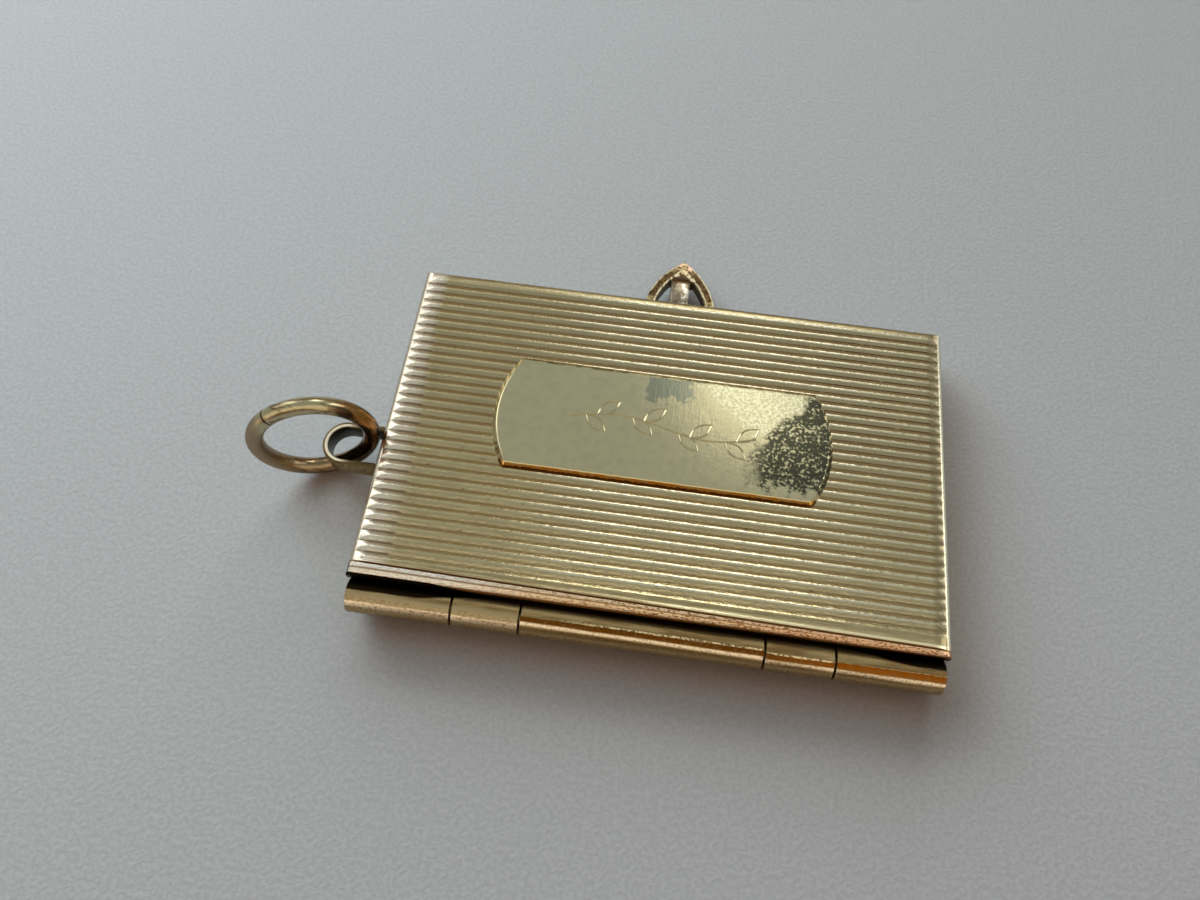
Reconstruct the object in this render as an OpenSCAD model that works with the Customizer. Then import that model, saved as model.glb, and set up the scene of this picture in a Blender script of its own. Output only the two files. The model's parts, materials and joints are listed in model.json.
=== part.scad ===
// Book locket: two shallow metal covers on a five-knuckle hinge, closed and lying on the back cover.
// X runs along the hinge, Y from the hinge to the opening side, Z up.
// The origin is the middle of the back cover's outer face.

/* [Covers] */
// Length of both covers along the hinge
cover_length = 28.6; // [27.4:0.2:31]
// Width of both covers from the hinge side to the opening side
cover_width = 17.7; // [16.5:0.1:19]
// Thickness of the closed locket
closed_thickness = 2.9; // [2.8:0.1:3.2]
// Thickness of the metal sheet
sheet = 0.4; // [0.3:0.05:0.45]
// Thickness of the wall that carries the hinge
hinge_wall = 0.85; // [0.8:0.05:1]
// Radius of the pressed edges
edge_radius = 0.3; // [0.2:0.05:0.35]
// Width of the soft shoulder at both ends of the front cover
shoulder_width = 0.9; // [0.7:0.1:1.2]
// Radius of the soft shoulder
shoulder_radius = 2.5; // [2:0.1:3.5]
// Gap between the edges of the closed covers
seam_gap = 0.08; // [0.06:0.02:0.12]

/* [Ribs] */
// Number of fine grooves across the front cover
groove_count = 30; // [24:1:32]
// Depth of a groove
groove_depth = 0.08; // [0.06:0.02:0.12]
// Roundness of a rib's crest, as a share of half its width
crest_round = 0.3; // [0.2:0.05:0.5]
// Width of the rounded rim on the hinge side, up to its crease
rim_width = 0.5; // [0.5:0.05:0.65]
// Radius of the rim's outer edge
rim_radius = 0.42; // [0.3:0.02:0.44]
// Plain band between the crease and the first groove
near_band = 0.7; // [0.4:0.05:0.8]
// Plain band between the last groove and the opening side
far_band = 0.77; // [0.6:0.05:0.9]
// Depth of the crease
crease_depth = 0.09; // [0.06:0.01:0.12]

/* [Plaque] */
// Length of the raised plaque over its rounded ends
plaque_length = 17.5; // [15:0.1:19]
// Width of the raised plaque
plaque_width = 6.45; // [5:0.05:7.5]
// How far the rounded ends swell past the corners
plaque_swell = 0.98; // [0.6:0.02:1.4]
// Height of the plaque above the ribs
plaque_height = 0.28; // [0.2:0.02:0.4]
// Width of the bevel round the plaque
plaque_bevel = 0.25; // [0.15:0.05:0.35]
// Shift of the plaque along the hinge
plaque_shift_x = -0.2; // [-0.4:0.1:0.4]
// Shift of the plaque toward the opening side
plaque_shift_y = 0.8; // [0:0.1:1.2]

/* [Hinge] */
// Outer radius of the hinge barrel
barrel_radius = 0.85; // [0.8:0.05:0.9]
// Distance of the barrel's axis outside the covers
barrel_offset = 0.6; // [0.58:0.02:0.66]
// Distance from the middle to the joint beside the middle knuckle
inner_joint = 5.8; // [5.4:0.1:6.2]
// Distance from the middle to the joint beside the end knuckle
outer_joint = 9.1; // [8.8:0.1:9.6]
// Gap between neighbouring knuckles
knuckle_gap = 0.1; // [0.08:0.02:0.14]
// Clearance of the barrel in the groove of the other cover
barrel_clearance = 0.1; // [0.08:0.02:0.12]
// Radius of the hinge pin
pin_radius = 0.35; // [0.3:0.01:0.38]
// Running clearance of the pin in the front cover's knuckles
pin_running = 0.05; // [0.03:0.01:0.08]
// Clearance of the pin in the back cover's knuckles
pin_fit = 0.02; // [0.01:0.01:0.03]

/* [Bail eye] */
// Inner radius of the bent strip's round end
eye_inner_radius = 0.9; // [0.88:0.01:0.95]
// Thickness of the strip
eye_strip = 0.3; // [0.25:0.01:0.35]
// Distance from the cover to the centre of the eye's round end
eye_reach = 1.95; // [1.9:0.05:2.05]
// Place of the eye along the short side, from the middle
eye_place = -1.9; // [-2.6:0.1:0]
// Height of the strip's lower edge above the back face
eye_bottom = 1; // [0.98:0.02:1.04]
// Width of the strip, which stands upright
eye_height = 1.15; // [1.1:0.05:1.2]

/* [Jump ring] */
// Radius of the ring to the middle of its wire
ring_radius = 2.8; // [2.7:0.05:2.9]
// Radius of the ring's wire
ring_wire = 0.43; // [0.4:0.01:0.44]
// Turn of the ring's plane about the upright axis
ring_turn = 19; // [18:1:22]
// Angle of the ring's plane from lying flat
ring_lean = 85; // [82:1:86]
// Place of the split round the ring
ring_split_at = 123; // [100:1:170]
// Width of the split, as an angle
ring_split = 1.6; // [1:0.2:3]

/* [Catch] */
// Half width of the pointed loop where it meets the cover
loop_half_width = 2.1; // [2.05:0.05:2.3]
// How far the loop's point stands out from the cover
loop_reach = 3.9; // [3.6:0.1:4.2]
// Width of the loop's arms
loop_arm = 0.55; // [0.45:0.05:0.6]
// Distance from the top of the opening to the loop's point
loop_nose = 1.35; // [1.3:0.05:1.5]
// Height of the loop's lower face above the back face
loop_bottom = 0.5; // [0.45:0.05:0.55]
// Thickness of the loop
loop_thickness = 0.8; // [0.7:0.05:0.8]
// Width of the tongue
tongue_width = 1.04; // [0.9:0.02:1.1]
// Shift of the tongue along the opening side
tongue_shift = -0.1; // [-0.15:0.05:0.15]
// Thickness of the tongue
tongue_thickness = 0.55; // [0.5:0.05:0.6]
// Gap between the tongue's end and the loop
tongue_gap = 0.12; // [0.1:0.02:0.2]

/* [Hidden] */
$fn = 64;

cover_gold = "#c3b183";
pin_gold = "#b8975f";
ring_gold = "#a8906c";

half_length = cover_length / 2;
half_width = cover_width / 2;
parting = closed_thickness / 2;
front_bottom = parting + seam_gap / 2;
back_top = parting - seam_gap / 2;
ceiling = closed_thickness - sheet - groove_depth / 2;
weld = 0.2;
past = 1;

axis_y = -half_width - barrel_offset;
barrel_half = half_length - 0.1;
pin_half = barrel_half - 0.05;
recess_radius = barrel_radius + barrel_clearance;

crease_y = -half_width + rim_width;
crease_half = 0.05;
first_groove = crease_y + near_band;
last_groove = half_width - far_band;
groove_pitch = (last_groove - first_groove) / (groove_count - 1);
rib_steps = [0, 0.3, 0.5, 0.7];
crest_span = sqrt(1 + pow(crest_round, 2)) - crest_round;

shoulder_centre = closed_thickness - shoulder_radius;
shoulder_turn = acos((edge_radius - shoulder_width) / (shoulder_radius - edge_radius));
edge_centre = shoulder_centre + (shoulder_radius - edge_radius) * sin(shoulder_turn);

plinth_drop = groove_depth + 0.1;
film = 0.01;

eye_x = -half_length - eye_reach;
eye_outer_radius = eye_inner_radius + eye_strip;
eye_side_gap = 0.14;

floor_gap = 0.01;
ring_z = ring_radius * sin(ring_lean) + ring_wire + floor_gap;
through_x = eye_x + 0.95;
through_y = eye_place + 0.22;
through_z = eye_bottom + eye_height / 2;
through_sin = (through_z - ring_z) / (ring_radius * sin(ring_lean));
along = ring_radius * sqrt(1 - pow(through_sin, 2));
across = ring_radius * through_sin * cos(ring_lean);
ring_x = through_x - along * cos(ring_turn) + across * sin(ring_turn);
ring_y = through_y - along * sin(ring_turn) - across * cos(ring_turn);

loop_side_radius = (pow(loop_reach, 2) + pow(loop_half_width, 2)) / (2 * loop_half_width);
loop_hole_top = half_width + loop_reach - loop_nose;
tongue_end = loop_hole_top - tongue_gap;
tongue_top = parting + 0.95;
tongue_low = loop_bottom + 0.25;
tongue_bend = 0.9;
tongue_blunt = 0.1;

// Points of an arc about (u, v) from angle a0 to angle a1, without those before the first
function arc(u, v, r, a0, a1, steps = 6, first = 0) =
    [for (i = [first : steps]) let (a = a0 + (a1 - a0) * i / steps) [u + r * cos(a), v + r * sin(a)]];

// Height of the ribbed sheet at a place t across one rib, from 0 to 1: a roof with a round crest
function rib_height(t) =
    closed_thickness
    - groove_depth * (sqrt(pow(2 * t - 1, 2) + pow(crest_round, 2)) - crest_round) / crest_span;

// Points over all ribs, from the first groove to the last
function rib_points() =
    [for (k = [0 : groove_count - 2]) for (t = rib_steps)
        [first_groove + (k + t) * groove_pitch, rib_height(t)]];

// Section of the front cover across the hinge: rim, crease, plain band, ribs, opening side
function front_section() = concat(
    [[-half_width, front_bottom]],
    arc(-half_width + rim_radius, closed_thickness - rim_radius, rim_radius, 180, 90),
    [[crease_y - crease_half, closed_thickness],
     [crease_y, closed_thickness - crease_depth],
     [crease_y + crease_half, closed_thickness],
     [first_groove - 3 * crease_half, closed_thickness]],
    rib_points(),
    [[last_groove, closed_thickness - groove_depth],
     [last_groove + 3 * crease_half, closed_thickness]],
    arc(half_width - edge_radius, closed_thickness - edge_radius, edge_radius, 90, 0),
    [[half_width, front_bottom]]
);

// Section of the front cover along the hinge: both ends fall off in a soft shoulder to a rounded edge
function shoulder_section() = concat(
    [[-half_length, front_bottom]],
    arc(-half_length + edge_radius, edge_centre, edge_radius, 180, shoulder_turn),
    arc(-half_length + shoulder_width, shoulder_centre, shoulder_radius, shoulder_turn, 90, 4, 1),
    arc(half_length - shoulder_width, shoulder_centre, shoulder_radius, 90, 180 - shoulder_turn, 4),
    arc(half_length - edge_radius, edge_centre, edge_radius, 180 - shoulder_turn, 0, 6, 1),
    [[half_length, front_bottom]]
);

// Section of the back cover's tray, rounded at its outer face
function tray_section(half) = concat(
    [[-half, back_top]],
    arc(edge_radius - half, edge_radius, edge_radius, 180, 270),
    arc(half - edge_radius, edge_radius, edge_radius, 270, 360),
    [[half, back_top]]
);

// Outline of the plaque: straight long sides and swelling ends
function plaque_outline(length, width) =
    let (r = (pow(width / 2, 2) + pow(plaque_swell, 2)) / (2 * plaque_swell),
         a = asin(width / 2 / r))
    concat(arc(length / 2 - r, 0, r, -a, a, 10), arc(r - length / 2, 0, r, 180 - a, 180 + a, 10));

// A shape along X from its section in Y and Z
module along_x(length) {
    rotate([90, 0, 90]) linear_extrude(length, center = true) children();
}

// A shape along Y from its section in X and Z
module along_y(length) {
    rotate([90, 0, 0]) linear_extrude(length, center = true) children();
}

// A round bar on the hinge's axis, between two places along it
module on_axis(from, to, radius) {
    translate([from, axis_y, parting]) rotate([0, 90, 0]) cylinder(to - from, radius, radius);
}

// The hollow inside a cover
module hollow(z0, z1) {
    translate([sheet - half_length, hinge_wall - half_width, z0])
        cube([cover_length - 2 * sheet, cover_width - hinge_wall - sheet, z1 - z0]);
}

// Front cover's ribbed tray
module ribbed_tray() {
    difference() {
        intersection() {
            along_x(cover_length) polygon(front_section());
            along_y(cover_width + past) polygon(shoulder_section());
        }
        hollow(front_bottom - past, ceiling);
    }
}

// Raised plaque with a bevelled edge
module plaque() {
    translate([plaque_shift_x, plaque_shift_y, closed_thickness]) {
        translate([0, 0, -plinth_drop])
            linear_extrude(plinth_drop + film) polygon(plaque_outline(plaque_length, plaque_width));
        hull() {
            linear_extrude(film) polygon(plaque_outline(plaque_length, plaque_width));
            translate([0, 0, plaque_height - film])
                linear_extrude(film)
                    polygon(plaque_outline(plaque_length - 2 * plaque_bevel, plaque_width - 2 * plaque_bevel));
        }
    }
}

// Catch tongue: a strip out of the front cover's wall that bends down into the loop
module tongue() {
    bend_y = tongue_end - tongue_bend;
    bend_z = tongue_top - tongue_bend;
    back_y = tongue_end - tongue_thickness;
    translate([tongue_shift, 0, 0]) along_x(tongue_width) polygon(concat(
        [[half_width - weld, tongue_top]],
        arc(bend_y, bend_z, tongue_bend, 90, 0),
        [[tongue_end, tongue_low + tongue_blunt],
         [tongue_end - tongue_blunt, tongue_low],
         [back_y + tongue_blunt, tongue_low],
         [back_y, tongue_low + tongue_blunt]],
        arc(bend_y, bend_z, tongue_bend - tongue_thickness, 0, 90),
        [[half_width - weld, tongue_top - tongue_thickness]]
    ));
}

// A pointed arch between two arcs, from one place along Y to another
module pointed_arch(radius, from, to) {
    side_centre = loop_side_radius - loop_half_width;
    intersection() {
        translate([side_centre, half_width]) circle(radius, $fn = 128);
        translate([-side_centre, half_width]) circle(radius, $fn = 128);
        translate([-loop_half_width - past, from]) square([2 * (loop_half_width + past), to - from]);
    }
}

// Catch loop: a pointed arch with slender arms and a solid nose, soldered to the back cover
module catch_loop() {
    translate([0, 0, loop_bottom]) linear_extrude(loop_thickness) difference() {
        pointed_arch(loop_side_radius, half_width - weld, half_width + loop_reach + past);
        pointed_arch(loop_side_radius - loop_arm, half_width, loop_hole_top);
    }
}

// Bail eye: an upright strip bent round and soldered by both ends to the back cover's short side
module bail_eye() {
    difference() {
        translate([0, eye_place, eye_bottom]) linear_extrude(eye_height) difference() {
            union() {
                translate([eye_x, 0]) circle(eye_outer_radius);
                translate([eye_x, -eye_outer_radius]) square([eye_reach + weld, 2 * eye_outer_radius]);
            }
            translate([eye_x, 0]) circle(eye_inner_radius);
            translate([eye_x, -eye_inner_radius]) square([eye_reach + weld + past, 2 * eye_inner_radius]);
        }
        translate([-half_length - eye_side_gap, eye_place - eye_outer_radius - past, back_top])
            cube([past, 2 * (eye_outer_radius + past), eye_height]);
    }
}

// Front cover: ribbed tray, plaque, tongue and the two knuckles between the end and middle ones
module front_cover() {
    color(cover_gold) difference() {
        union() {
            ribbed_tray();
            plaque();
            tongue();
            on_axis(-barrel_half, barrel_half, barrel_radius);
        }
        on_axis(-half_length - past, -outer_joint + knuckle_gap / 2, recess_radius);
        on_axis(-inner_joint - knuckle_gap / 2, inner_joint + knuckle_gap / 2, recess_radius);
        on_axis(outer_joint - knuckle_gap / 2, half_length + past, recess_radius);
        on_axis(-half_length, half_length, pin_radius + pin_running);
    }
}

// Back cover: plain tray, catch loop, bail eye and the end and middle knuckles
module back_cover() {
    color(cover_gold) difference() {
        union() {
            difference() {
                intersection() {
                    along_x(cover_length) polygon(tray_section(half_width));
                    along_y(cover_width + past) polygon(tray_section(half_length));
                }
                hollow(sheet, back_top + past);
            }
            catch_loop();
            bail_eye();
            on_axis(-barrel_half, barrel_half, barrel_radius);
        }
        on_axis(-outer_joint - knuckle_gap / 2, -inner_joint + knuckle_gap / 2, recess_radius);
        on_axis(inner_joint - knuckle_gap / 2, outer_joint + knuckle_gap / 2, recess_radius);
        on_axis(-half_length, half_length, pin_radius + pin_fit);
    }
}

// Hinge pin through all five knuckles
module hinge_pin() {
    color(pin_gold) on_axis(-pin_half, pin_half, pin_radius);
}

// Jump ring: split round wire that passes through the bail eye and stands on its edge
module jump_ring() {
    color(ring_gold) translate([ring_x, ring_y, ring_z]) rotate([ring_lean, 0, ring_turn])
        rotate_extrude(angle = 360 - ring_split, start = ring_split_at + ring_split / 2, $fn = 96)
            translate([ring_radius, 0]) circle(ring_wire, $fn = 96);
}

front_cover();
back_cover();
hinge_pin();
jump_ring();
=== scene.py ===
"""Book locket: the finished look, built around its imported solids.

Shapes are drawn in millimetres and brought to metres when a piece is finished. X runs along the hinge,
Y from the hinge to the opening side, and Z up, as in the solids.
"""

import json
import logging
import math
from contextlib import contextmanager
from dataclasses import dataclass
from enum import Enum
from typing import Callable, Iterator, Union

import bmesh
import bpy
from bpy.types import Material, NodeSocket, Object
from mathutils import Matrix, Vector


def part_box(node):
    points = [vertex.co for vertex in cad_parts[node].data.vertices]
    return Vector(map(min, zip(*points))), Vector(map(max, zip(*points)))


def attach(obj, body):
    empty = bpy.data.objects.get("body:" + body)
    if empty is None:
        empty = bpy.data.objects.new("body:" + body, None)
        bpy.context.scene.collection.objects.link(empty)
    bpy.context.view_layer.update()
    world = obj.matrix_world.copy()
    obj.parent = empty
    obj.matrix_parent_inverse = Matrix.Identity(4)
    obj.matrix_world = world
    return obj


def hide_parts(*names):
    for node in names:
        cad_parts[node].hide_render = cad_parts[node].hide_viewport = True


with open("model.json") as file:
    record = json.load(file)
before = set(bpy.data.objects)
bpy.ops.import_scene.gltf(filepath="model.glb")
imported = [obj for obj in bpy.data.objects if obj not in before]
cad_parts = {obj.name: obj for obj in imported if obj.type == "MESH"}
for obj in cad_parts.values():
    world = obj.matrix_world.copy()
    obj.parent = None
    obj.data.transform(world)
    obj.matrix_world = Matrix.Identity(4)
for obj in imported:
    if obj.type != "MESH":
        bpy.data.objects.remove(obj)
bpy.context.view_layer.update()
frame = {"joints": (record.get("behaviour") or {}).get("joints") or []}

# A millimetre in metres. Then, in millimetres: how far a cutting shape reaches past a piece, how deep a
# soldered foot reaches into the wall, and how close two corners are that count as one.
MM = 0.001
PAST = 1.0
WELD = 0.2
SAME_PLACE = 0.0005
UP = Vector((0, 0, 1))
log = logging.getLogger("locket")

Pair = tuple[float, float]
Colour = tuple[float, float, float]
Source =Union[NodeSocket, float]
Tint = Union[NodeSocket, Colour]


class Boolean(Enum):
    """How a tool shape works on a piece."""

    CUT = "DIFFERENCE"
    COMMON = "INTERSECT"


class Pick(Enum):
    """What a selection in edit mode is made of."""

    CORNERS = "VERT"
    EDGES = "EDGE"
    FACES = "FACE"


class Body(Enum):
    """The two parts of the locket that move against each other."""

    FRONT = "front"
    BACK = "back"


class Slot(Enum):
    """The record's material slots."""

    FRONT = "front_gold"
    BACK = "back_gold"
    PIN = "pin_metal"
    RING = "ring_gold"


@dataclass(frozen=True)
class LocketSizes:
    """Driving sizes of the locket, in millimetres.

    Args:
        length: Length of both covers along the hinge.
        axis_y: Place of the hinge's axis across the locket.
        axis_z: Height of the hinge's axis, where the covers part.
    """

    length: float
    axis_y: float
    axis_z: float
    barrel_offset: float = 0.6
    thickness: float = 2.9
    sheet: float = 0.4
    hinge_wall: float = 0.85
    edge_radius: float = 0.3
    shoulder_width: float = 0.9
    shoulder_radius: float = 2.5
    seam_gap: float = 0.08
    groove_count: int = 30
    groove_depth: float = 0.08
    crest_round: float = 0.3
    rim_width: float = 0.5
    rim_radius: float = 0.42
    near_band: float = 0.7
    far_band: float = 0.77
    crease_depth: float = 0.09
    crease_half: float = 0.05
    crease_lean: float = 0.013
    band_sink: float = 0.022
    barrel_radius: float = 0.85
    barrel_inset: float = 0.1
    inner_joint: float = 5.8
    outer_joint: float = 9.1
    knuckle_gap: float = 0.1
    barrel_clearance: float = 0.1
    pin_radius: float = 0.35
    pin_inset: float = 0.05

    @property
    def half_length(self) -> float:
        """Half the length of the covers."""
        return self.length / 2

    @property
    def half_width(self) -> float:
        """Half the width of the covers."""
        return -self.axis_y - self.barrel_offset

    @property
    def front_bottom(self) -> float:
        """Height of the front cover's lower edge."""
        return self.axis_z + self.seam_gap / 2

    @property
    def back_top(self) -> float:
        """Height of the back cover's upper edge."""
        return self.axis_z - self.seam_gap / 2

    @property
    def ceiling(self) -> float:
        """Height of the front cover's inner face."""
        return self.thickness - self.sheet - self.groove_depth / 2

    @property
    def crease_y(self) -> float:
        """Place of the crease beside the rim."""
        return -self.half_width + self.rim_width

    @property
    def first_groove(self) -> float:
        """Place of the groove nearest the hinge."""
        return self.crease_y + self.near_band

    @property
    def last_groove(self) -> float:
        """Place of the groove nearest the opening side."""
        return self.half_width - self.far_band

    @property
    def pitch(self) -> float:
        """Distance from one groove to the next."""
        return (self.last_groove - self.first_groove) / (self.groove_count - 1)

    @property
    def first_crest(self) -> float:
        """Place of the crest before the first groove."""
        return self.first_groove - self.pitch / 2

    @property
    def barrel_half(self) -> float:
        """Half the length of the hinge's barrel."""
        return self.half_length - self.barrel_inset

    @property
    def recess_radius(self) -> float:
        """Radius of the hollow that clears the other cover's knuckles."""
        return self.barrel_radius + self.barrel_clearance


def measured_sizes() -> LocketSizes:
    """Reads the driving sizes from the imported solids.

    Returns:
        The locket's sizes in millimetres.
    """
    low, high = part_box("front_cover")
    hinge = frame["joints"][0]["pos_m"]
    return LocketSizes(
        length=round((high.x - low.x) / MM, 3),
        axis_y=round(hinge[1] / MM, 4),
        axis_z=round(hinge[2] / MM, 4),
    )


# Modelling helpers

def deselect() -> None:
    """Deselects every object."""
    for other in list(bpy.context.selected_objects):
        other.select_set(False)


def hold(piece: Object) -> None:
    """Selects one object and makes it active."""
    deselect()
    piece.select_set(True)
    bpy.context.view_layer.objects.active = piece


@contextmanager
def editing(piece: Object, kind: Pick = Pick.FACES) -> Iterator[None]:
    """Holds a piece in edit mode with nothing selected.

    Args:
        piece: The object to edit.
        kind: What selections are made of.
    """
    hold(piece)
    bpy.ops.object.mode_set(mode="EDIT")
    bpy.ops.mesh.select_mode(type=kind.value)
    bpy.ops.mesh.select_all(action="DESELECT")
    yield
    bpy.ops.object.mode_set(mode="OBJECT")


def pick(piece: Object, kind: Pick, test: Callable) -> None:
    """Selects the edges or faces that pass a test, and nothing else.

    Args:
        piece: The object that is in edit mode.
        kind: What is tested.
        test: Called with each edge or face.
    """
    bpy.ops.mesh.select_mode(type=kind.value)
    bpy.ops.mesh.select_all(action="DESELECT")
    mesh = bmesh.from_edit_mesh(piece.data)
    for part in [part for part in (mesh.edges if kind is Pick.EDGES else mesh.faces) if test(part)]:
        part.select_set(True)
    mesh.select_flush_mode()
    bmesh.update_edit_mesh(piece.data)


def middle(edge: bmesh.types.BMEdge) -> Vector:
    """Middle of an edge."""
    return (edge.verts[0].co + edge.verts[1].co) / 2


def apply_place(piece: Object) -> None:
    """Puts an object's place, turn and scale into its mesh."""
    hold(piece)
    bpy.ops.object.transform_apply(location=True, rotation=True, scale=True)


def block(name: str, low: tuple, high: tuple) -> Object:
    """Adds a box between two corners.

    Args:
        name: Name of the object.
        low: Lowest corner in millimetres.
        high: Highest corner in millimetres.

    Returns:
        The box, at its place.
    """
    deselect()
    centre = [(a + b) / 2 for a, b in zip(low, high)]
    bpy.ops.mesh.primitive_cube_add(size=1, location=centre)
    box = bpy.context.object
    box.name = name
    box.scale = [b - a for a, b in zip(low, high)]
    apply_place(box)
    return box


def rod(name: str, start: tuple, end: tuple, radius: float, sides: int) -> Object:
    """Adds a round bar between two points.

    Args:
        name: Name of the object.
        start: Middle of one end, in millimetres.
        end: Middle of the other end.
        radius: Radius of the bar.
        sides: Number of sides.

    Returns:
        The bar, at its place.
    """
    deselect()
    start, end = Vector(start), Vector(end)
    bpy.ops.mesh.primitive_cylinder_add(vertices=sides, radius=radius, depth=(end - start).length)
    bar = bpy.context.object
    bar.name = name
    bar.location = (start + end) / 2
    bar.rotation_euler = (end - start).to_track_quat("Z", "Y").to_euler()
    apply_place(bar)
    return bar


def outline_solid(name: str, outline: list[Vector], pushes: list[Vector]) -> Object:
    """Draws a closed outline corner by corner, fills it and pushes it out step by step.

    Args:
        name: Name of the object.
        outline: Corners of the outline in order, in millimetres.
        pushes: The steps by which the filled outline is extruded.

    Returns:
        The closed solid, its faces outwards.
    """
    deselect()
    bpy.ops.mesh.primitive_plane_add(size=1, location=outline[0])
    solid = bpy.context.object
    solid.name = name
    with editing(solid, Pick.CORNERS):
        bpy.ops.mesh.select_all(action="SELECT")
        bpy.ops.mesh.merge(type="CENTER")
        for here, there in zip(outline, outline[1:]):
            bpy.ops.mesh.extrude_vertices_move(TRANSFORM_OT_translate={"value": there - here})
        bpy.ops.mesh.select_all(action="SELECT")
        bpy.ops.mesh.edge_face_add()
        bpy.ops.mesh.select_mode(type=Pick.FACES.value)
        for push in pushes:
            bpy.ops.mesh.extrude_region_move(TRANSFORM_OT_translate={"value": push})
        bpy.ops.mesh.select_all(action="SELECT")
        bpy.ops.mesh.normals_make_consistent(inside=False)
    apply_place(solid)
    return solid


def combine(piece: Object, tool: Object, how: Boolean) -> None:
    """Cuts or intersects a piece with a tool shape, and removes the tool.

    Args:
        piece: The object that keeps the result.
        tool: The other shape.
        how: Which of the two is done.
    """
    hold(piece)
    work = piece.modifiers.new(how.name.lower(), "BOOLEAN")
    work.operation = how.value
    work.solver = "EXACT"
    work.object = tool
    bpy.ops.object.modifier_apply(modifier=work.name)
    bpy.data.objects.remove(tool)


def soften(piece: Object, width: float, segments: int, angle: float) -> None:
    """Rounds a piece's sharp edges.

    Args:
        piece: The object.
        width: Width of the rounding in millimetres.
        segments: Number of faces across a rounding.
        angle: Least angle, in degrees, of an edge that is rounded.
    """
    hold(piece)
    bevel = piece.modifiers.new("soft_edges", "BEVEL")
    bevel.width = width
    bevel.segments = segments
    bevel.limit_method = "ANGLE"
    bevel.angle_limit = math.radians(angle)
    bpy.ops.object.modifier_apply(modifier=bevel.name)


def clean(piece: Object) -> None:
    """Merges corners that lie together and turns all faces outwards."""
    with editing(piece, Pick.CORNERS):
        bpy.ops.mesh.select_all(action="SELECT")
        bpy.ops.mesh.remove_doubles(threshold=SAME_PLACE)
        bpy.ops.mesh.normals_make_consistent(inside=False)


def arc(u: float, v: float, radius: float, start: float, end: float, steps: int) -> list[Pair]:
    """Points of an arc about (u, v) between two angles in degrees."""
    angles = [math.radians(start + (end - start) * step / steps) for step in range(steps + 1)]
    return [(u + radius * math.cos(angle), v + radius * math.sin(angle)) for angle in angles]


def on_axis(sizes: LocketSizes, start: float, end: float, radius: float) -> Object:
    """A round bar on the hinge's axis between two places along it."""
    return rod("bar", (start, sizes.axis_y, sizes.axis_z), (end, sizes.axis_y, sizes.axis_z), radius, 96)


def hollow(sizes: LocketSizes, low: float, high: float) -> Object:
    """The hollow inside a cover, between two heights."""
    return block(
        "hollow",
        (sizes.sheet - sizes.half_length, sizes.hinge_wall - sizes.half_width, low),
        (sizes.half_length - sizes.sheet, sizes.half_width - sizes.sheet, high),
    )


def knuckle(sizes: LocketSizes, start: float, end: float, bore: float) -> Object:
    """One knuckle of the barrel with its bore and softly rounded ends.

    Args:
        sizes: The locket's sizes.
        start: Place of its left end along the hinge.
        end: Place of its right end.
        bore: Radius of the hole for the pin.

    Returns:
        The knuckle, in millimetres.
    """
    piece = on_axis(sizes, start, end, sizes.barrel_radius)
    combine(piece, on_axis(sizes, start - PAST, end + PAST, bore), Boolean.CUT)
    clean(piece)
    soften(piece, 0.05, 3, 40)
    return piece


@dataclass(frozen=True)
class Fitting:
    """Where a finished piece belongs: its body, its material slot and the solid that it stands for."""

    body: Body
    slot: Slot
    node: str

    def finish(self, piece: Object, name: str, material: Material, angle: float = 30.0) -> None:
        """Brings a piece to metres, dresses it and lets it ride on its body.

        Args:
            piece: The modelled object, in millimetres.
            name: The piece's name.
            material: Its finish.
            angle: Edges flatter than this, in degrees, are shaded smooth.
        """
        piece.name = name
        piece.data.name = name
        piece.scale = (MM, MM, MM)
        apply_place(piece)
        bpy.ops.object.shade_smooth_by_angle(angle=math.radians(angle))
        piece.data.materials.clear()
        piece.data.materials.append(material)
        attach(piece, self.body.value)
        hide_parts(self.node)
        piece.data.calc_loop_triangles()
        log.info("%s: %d triangles on %s", name, len(piece.data.loop_triangles), self.body.value)


# Finishes

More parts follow.
